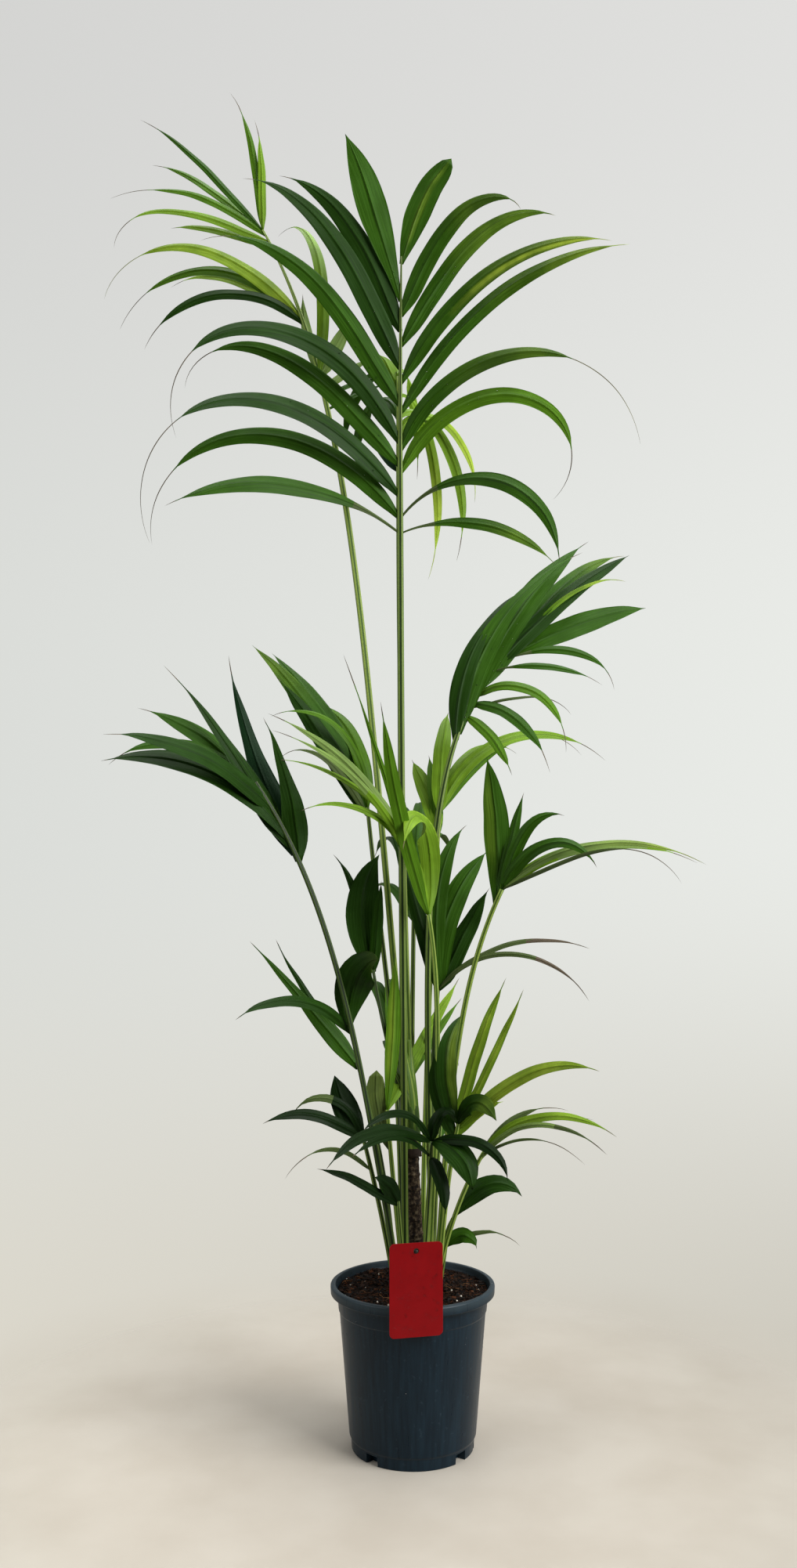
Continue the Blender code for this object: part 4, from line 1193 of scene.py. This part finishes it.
frond(
    "frond_right_inner", (2.9, -3.2), 328, 84, 21.7, 9, 3, 2.4, (0, -1, 0.5),
    ("young", "olive"),
    [
        (
            21, 345, 19.5, 79, 15, 1, 12, "young",
            dict(youth=((0.71, 0), (0.97, 0.13)), streak=(0.05, 0.8, 0, 0.5, 0.6)),
        ),
        (
            21, 330, 19.5, 60, -5, 1, 8, "young",
            dict(youth=((0.66, 0), (0.92, 0.13)), streak=(0.05, 0.8, 0, 0.5, 0.6)),
        ),
        (
            21, 320, 23, 42, 56, 2, 13, "young",
            dict(wisp=0.06, youth=((0.06, 0), (0.32, 0.6), (0.52, 0.8), (0.82, 0.6), (0.98, 0.36))),
        ),
        (
            22, 60, 15.5, 130, 112, 1.5, 20, "deep",
            dict(shape=OVAL, wisp=0.02, fold=5, streak=(0.1, 0.9, 0.5, 0.4, 0.2)),
        ),
        (20, 200, 11, 60, -40, 1.5, 15, "deep"),
        (
            21.5, 290, 13, 58, 92, 1, 20, "deep",
            dict(shape=OVAL, wisp=0.02, fold=6, youth=((0.46, 0), (0.72, 0.13))),
        ),
        (20, 338, 8, 62, 50, 1, 12, "young", dict(youth=((0.26, 0), (0.52, 0.6)))),
    ],
    stalk="young",
)
frond(
    "frond_right_low", (2.5, -2.2), 334, 77, 19.5, 19, 1.5, 2.4, (0, -1, 0.7),
    ("young", "olive"),
    [
        (
            18, 330, 20.5, 60, 91, 1, 10, "young",
            dict(wisp=0.08, youth=((0.16, 0), (0.42, 0.3), (0.82, 0.2))),
        ),
        (18, 315, 21.5, 54, 87, 1, 6, "sage", dict(wisp=0.12, tips=((0.6, "dull"),))),
        (19, 300, 21, 27, 50, 1.5, 4, "dull", dict(wisp=0.35)),
        (19, 348, 15, 49, 60, 1, 6, "young", dict(wisp=0.3)),
        (19, 5, 13, 57, 80, 1.5, 8, "dull", dict(wisp=0.3)),
    ],
    stalk="young",
)
frond(
    "leaf_right_low", (3.2, -0.2), 350, 85, 10.1, 32, 3, 2.0, (0, -1, 0.7),
    ("grown",),
    [
        (10, 345, 10.5, 54, 114, 2, 22, "deep", dict(shape=OVAL, wisp=0.04, fold=5, wet=3)),
    ],
)
frond(
    "leaf_right_lowest", (3.2, -1.2), 350, 81, 6.4, 0, 1, 1.8, (0, -1, 0.7),
    ("grown",),
    [
        (6, 335, 5.5, 58, 145, 1.5, 16, None, dict(shape=OVAL, fold=6)),
        (6, 352, 10, 34, 80, 1.5, 5, "dull", dict(wisp=0.3)),
    ],
)
frond(
    "leaf_left_lowest", (-0.7, -4.4), 226, 82, 12.5, -3, 2.5, 1.8, (0, -1, 0.7),
    ("deep", "grown"),
    [
        (12, 220, 5.5, 71, 50, 1, 18, "shade", dict(shape=OVAL, wisp=0.03)),
        (12, 215, 13, 33, 20, 2, 10, "shade"),
    ],
)


# ==== Back fronds ====
# Three fronds behind the trunk that fill the crown from the back.
frond(
    "frond_back_upper", (-0.2, 4.4), 85, 86, 53, 12, 2, 2.6, (0, -0.3, 1),
    ("grown", "deep"),
    [
        (53, 98, 29, 52, 95, 1.5, 17),
        (53, 84, 27, 60, 110, 1.5, 17),
        (51, 106, 24, 46, 90, 1.5, 16),
        (51, 74, 25, 48, 95, 1.5, 16),
        (48, 92, 26, 30, 70, 1.5, 16),
        (46, 112, 20, 40, 80, 1.5, 15),
        (46, 68, 20, 35, 70, 1.5, 15),
    ],
)
frond(
    "frond_back_lower", (-1.2, 3.0), 105, 85, 30, 12, 2, 2.4, (0, -0.3, 1),
    ("grown", "olive"),
    [
        (30, 104, 22, 50, 90, 1.5, 16),
        (30, 92, 20, 58, 100, 1.5, 16),
        (29, 97, 18, 45, 90, 1.5, 15),
        (28, 84, 19, 42, 85, 1.5, 15),
        (26, 95, 20, 30, 75, 1.5, 15),
    ],
)
frond(
    "frond_back_low", (2.6, 3.2), 70, 84, 21, 14, 2, 2.2, (0, -0.3, 1),
    ("olive", "grown"),
    [
        (21, 80, 20, 52, 100, 1.5, 15),
        (21, 92, 18, 55, 110, 1.5, 14),
        (20, 88, 16, 46, 95, 1.5, 14),
        (18, 74, 17, 30, 80, 1.5, 13),
    ],
)


# ==== Crown sheaths ====
# The feet of the four stalks that grow from the trunk: green sheaths, each wrapped round the next
# one and round the trunk's top, that end below in a brown fibrous rim.
SHEATH_SIDES, SHEATH_STEPS = 26, 30
PLEATS, PLEAT_DEPTH = 7, 0.035
work = bmesh.new()
dealer = random.Random(5)
# each one's frond, how far it reaches below the trunk's top and above it, its girth and its kind
for name, drop, reach, girth, kind in (
    ("frond_tall_left", 0.052, 0.105, 0.0128, "young_"),
    ("frond_tall_young", 0.040, 0.090, 0.0124, "young_"),
    ("frond_centre_left", 0.030, 0.075, 0.0131, ""),
    ("frond_inner_left", 0.022, 0.060, 0.0121, ""),
):
    foot, heading, rise, length, bend, power, radius = stalk_arches[name]
    stalk_start = (foot[0] * CM, foot[1] * CM, TRUNK_CROWN)
    points, _ = arch(stalk_start, heading, rise, length * CM, bend, power, max(12, round(length)))
    loops, phase = [], dealer.uniform(0, 2 * pi)
    for i in range(SHEATH_STEPS + 1):
        share = i / SHEATH_STEPS
        height = TRUNK_CROWN - drop + (drop + reach) * share
        axis = trunk_middle(min(1, (height - STALK_FOOT) / TRUNK_HEIGHT)).to_3d()
        stalk_spot = along(points, max(0, height - TRUNK_CROWN) / (length * CM))
        narrowing = max(0, share - 0.25) / 0.75
        narrowing = narrowing * narrowing * (3 - 2 * narrowing)
        centre = axis.lerp(stalk_spot, narrowing)
        wide = girth + (radius * 1.3 * MM - girth) * narrowing
        loop = []
        for turn in turns(SHEATH_SIDES):
            pleat = 1 + PLEAT_DEPTH * sin(PLEATS * turn + phase) * (1 - narrowing)
            rim = 4 * MM * noise.noise(flat_way(turn) * 2 + Vector((0, 0, phase))) if i == 0 else 0
            spot = centre.xy + flat_way(turn).xy * (wide * pleat)
            loop.append(work.verts.new((*spot, height + rim)))
        loops.append(loop)
    for made, i, j in skin(work, loops):
        # Every third band takes the edge colour, the stalks' painted highlight, as pale stripes round the
        # sheath.
        band = (j + round(phase * 4)) % SHEATH_SIDES
        tint = kind + ("edge" if band % 3 == 0 else "back")
        if i < 2 or band == 3 and i < SHEATH_STEPS * 0.7:  # the rim, and the seam up from it
            tint = "sheath"
        made.material_index = STALK_ORDER.index(tint)
    work.faces.new(loops[0][::-1]).material_index = STALK_ORDER.index("sheath")
    work.faces.new(loops[-1]).material_index = STALK_ORDER.index(kind + "back")
add_piece("leaf_sheaths", work, [stalk_finishes[tint] for tint in STALK_ORDER])


# ==== Water ====
# Drops that the sprayer left on the blades, the tag and the pot: clear domes 1 to 3 mm wide that
# sit flat on what they wet.
TAG_DROPS, WALL_DROPS, LIP_DROPS = 260, 130, 40
DROP_CHANCE = 0.022  # of a drop at a spot of wetness 1
DROP_FLATNESS = 0.5
SUNK = 0.05 * MM  # of a drop's rim
UPWARDS = Vector((0, 0, 1))

# Clear water: smooth enough to glint, and the leaf shows through it.
water_finish = new_finish(
    "clear_water",
    {"Base Color": "FFFFFF", "Roughness": 0.02, "IOR": 1.333, "Transmission Weight": 1.0},
)[0]


def drop(work, spot, out, radius):
    """A dome of water of this radius on a surface that faces out."""
    stand = Matrix.Translation(spot) @ out.to_track_quat("Z", "Y").to_matrix().to_4x4()
    shape = Matrix.Diagonal((radius, radius, radius * DROP_FLATNESS, 1))
    bmesh.ops.create_icosphere(work, subdivisions=1, radius=1, matrix=stand @ shape)


dealer = random.Random(23)
work = bmesh.new()
for wetness, spot, out in wet_spots:
    if dealer.random() < wetness * DROP_CHANCE:
        drop(work, spot, out, dealer.uniform(0.5, 1.3) * MM)
add_piece("leaf_water_drops", work, [water_finish])

work = bmesh.new()
for _ in range(TAG_DROPS):
    x = dealer.uniform(-1, 1) * (TAG_WIDTH / 2 - 3 * MM)
    y = dealer.uniform(-1, 1) * (TAG_HEIGHT / 2 - 4 * MM)
    size = (0.45 + 1.2 * dealer.random() ** 4) * MM
    if (Vector((x, y)) - hole_middle).length > TAG_HOLE_RADIUS + 2 * MM:
        drop(work, tag_stand @ Vector((x, y, TAG_THICKNESS / 2 - SUNK)), tag_out, size)
add_piece("tag_water_drops", work, [water_finish])

work = bmesh.new()
for _ in range(WALL_DROPS):
    turn, height = dealer.uniform(0, 2 * pi), dealer.uniform(20 * MM, SOIL_SHOULDER)
    radius = wall_radius(height) - (LEDGE_STEP if height < LEDGE else 0) - SUNK
    size = (0.4 + 1.3 * dealer.random() ** 3) * MM
    drop(work, flat_way(turn) * radius + UPWARDS * height, flat_way(turn), size)
for _ in range(LIP_DROPS):
    turn, size = dealer.uniform(0, 2 * pi), dealer.uniform(0.4, 1.2) * MM
    radius = dealer.uniform(LIP_INNER_RADIUS + 2 * MM, LIP_RADIUS - 3 * MM)
    drop(work, flat_way(turn) * radius + UPWARDS * POT_HEIGHT, UPWARDS, size)
add_piece("pot_water_drops", work, [water_finish])


# ==== Camera ====
# Straight in front of the plant, at two fifths of its height, and tipped up a few degrees.
camera_data = bpy.data.cameras.new("camera")
camera_data.lens = 29.92
camera_data.sensor_width = 36
camera = bpy.data.objects.new("camera", camera_data)
camera.location = (-0.0175, -1.66, 0.690)
camera.rotation_euler = (radians(94.31), 0, 0)
bpy.context.scene.collection.objects.link(camera)
bpy.context.scene.camera = camera


# ==== Floor ====
# A plain pale studio floor, smooth screed with a faint mottle, painted paler on the left and darker
# towards the right as painted light and shade, that fades out into the backdrop.
FLOOR_RADIUS, FADE_FROM, FADE_TO = 2.6, 0.3, 0.8
SLOPE = 0.45  # how far to each side the floor goes on getting paler or darker
work = bmesh.new()
bmesh.ops.create_circle(work, cap_ends=True, segments=96, radius=FLOOR_RADIUS)
mesh = bpy.data.meshes.new("studio_floor")
work.to_mesh(mesh)
work.free()
floor = bpy.data.objects.new("studio_floor", mesh)
bpy.context.scene.collection.objects.link(floor)
floor_finish, tree, shader = new_finish("smooth_screed", {"Roughness": 0.7, "Specular IOR Level": 0.2})
place = add_node(tree, "TexCoord", {}).outputs["Object"]
screed = flecks(tree, place, 160 * MM, 6, 0.35, 0.65, "BAB2A5", "C3BCB0")[2]
across = add_node(tree, "SeparateXYZ", {0: place}).outputs["X"]
# Painted light and shade: the screed is painted paler on the left and darker on the right.
floor_light_share = add_node(
    tree,
    "MapRange",
    {"Value": across, "From Min": -SLOPE, "From Max": SLOPE, "To Min": 1.18, "To Max": 0.87},
)
floor_light_and_shade = add_node(
    tree, "Mix", {0: 1.0, 6: screed, 7: floor_light_share}, data_type="RGBA", blend_type="MULTIPLY"
)
feed(tree, shader, {"Base Color": floor_light_and_shade})
fade = add_node(
    tree,
    "MapRange",
    {
        "Value": add_node(tree, "VectorMath", {0: place}, operation="LENGTH"),
        "From Min": FADE_FROM,
        "From Max": FADE_TO,
    },
    interpolation_type="SMOOTHSTEP",
)
clear = add_node(tree, "BsdfTransparent", {})
blend = add_node(tree, "MixShader", {0: fade, 1: shader, 2: clear})
feed(tree, tree.nodes["Material Output"], {"Surface": blend})
mesh.materials.append(floor_finish)


# ==== Backdrop and light ====
# A pale backdrop all round, warm near the ground and grey-white above. It is painted brighter on the left
# below and on the right above: painted light where it is seen, and a little real light where it lights the
# plant. Two softboxes stand in front (the stronger one on the right) and one overhead.
FILL_LIGHT = 0.44  # the backdrop's share of the light, next to how bright it looks itself
DARK_SIDE = 0.16  # the same in front, where the room is dark behind the camera
GRADE_EDGE = 0.3  # how far to each side the backdrop goes on getting paler or darker
# where the backdrop turns from warm to white and then to grey, from -1 straight down to 1 straight up
LOW_BAND, HIGH_BAND = (-0.42, 0.05), (0.15, 0.6)
SIDE_BAND = (-0.6, 0.2)  # where it goes over from the dark side to the light one, front to back
AIM = Vector((0, 0, 0.8))
SOFTBOXES = (  # name, place and width in metres, power in watts
    ("softbox_right", (1.9, -1.3, 1.8), 1.9, 94),
    ("softbox_left", (-2.1, -0.9, 1.5), 1.9, 20),
    ("softbox_top", (0.3, 0.3, 3.2), 2.2, 62),
)
world = bpy.data.worlds.new("studio")
bpy.context.scene.world = world
world.use_nodes = True
tree = world.node_tree
parts = add_node(tree, "SeparateXYZ", {0: add_node(tree, "TexCoord", {}).outputs["Generated"]})
low, high = (
    add_node(
        tree,
        "MapRange",
        {"Value": parts.outputs["Z"], "From Min": bottom, "From Max": top},
        interpolation_type="SMOOTHSTEP",
    )
    for bottom, top in (LOW_BAND, HIGH_BAND)
)
low_colour = add_node(tree, "Mix", {0: low, 6: "D2CDC0", 7: "E2E4E0"}, data_type="RGBA")
backdrop = add_node(tree, "Mix", {0: high, 6: low_colour, 7: "DADAD8"}, data_type="RGBA")
# Painted light: the backdrop is painted brighter on the left near the ground and on the right above.
left = add_node(tree, "MapRange", {"Value": low, "To Min": 1.1, "To Max": 0.93})
right = add_node(tree, "MapRange", {"Value": low, "To Min": 0.92, "To Max": 1.07})
across_view = add_node(
    tree,
    "MapRange",
    {
        "Value": parts.outputs["X"],
        "From Min": -GRADE_EDGE,
        "From Max": GRADE_EDGE,
        "To Min": left,
        "To Max": right,
    },
)
graded = add_node(
    tree, "Mix", {0: 1.0, 6: backdrop, 7: across_view}, data_type="RGBA", blend_type="MULTIPLY"
)
fill = add_node(
    tree,
    "MapRange",
    {
        "Value": parts.outputs["Y"],
        "From Min": SIDE_BAND[0],
        "From Max": SIDE_BAND[1],
        "To Min": DARK_SIDE,
        "To Max": FILL_LIGHT,
    },
)
seen = add_node(tree, "LightPath", {}).outputs["Is Camera Ray"]
strength = add_node(tree, "MapRange", {"Value": seen, "To Min": fill, "To Max": 1.0})
feed(tree, tree.nodes["Background"], {"Color": graded, "Strength": strength})

for name, spot, size, power in SOFTBOXES:
    lamp = bpy.data.lights.new(name, "AREA")
    lamp.shape, lamp.size, lamp.energy = "SQUARE", size, power
    made = bpy.data.objects.new(name, lamp)
    made.location = spot
    made.rotation_euler = (Vector(spot) - AIM).to_track_quat("Z", "Y").to_euler()
    bpy.context.scene.collection.objects.link(made)
bpy.context.scene.view_settings.view_transform = "Standard"
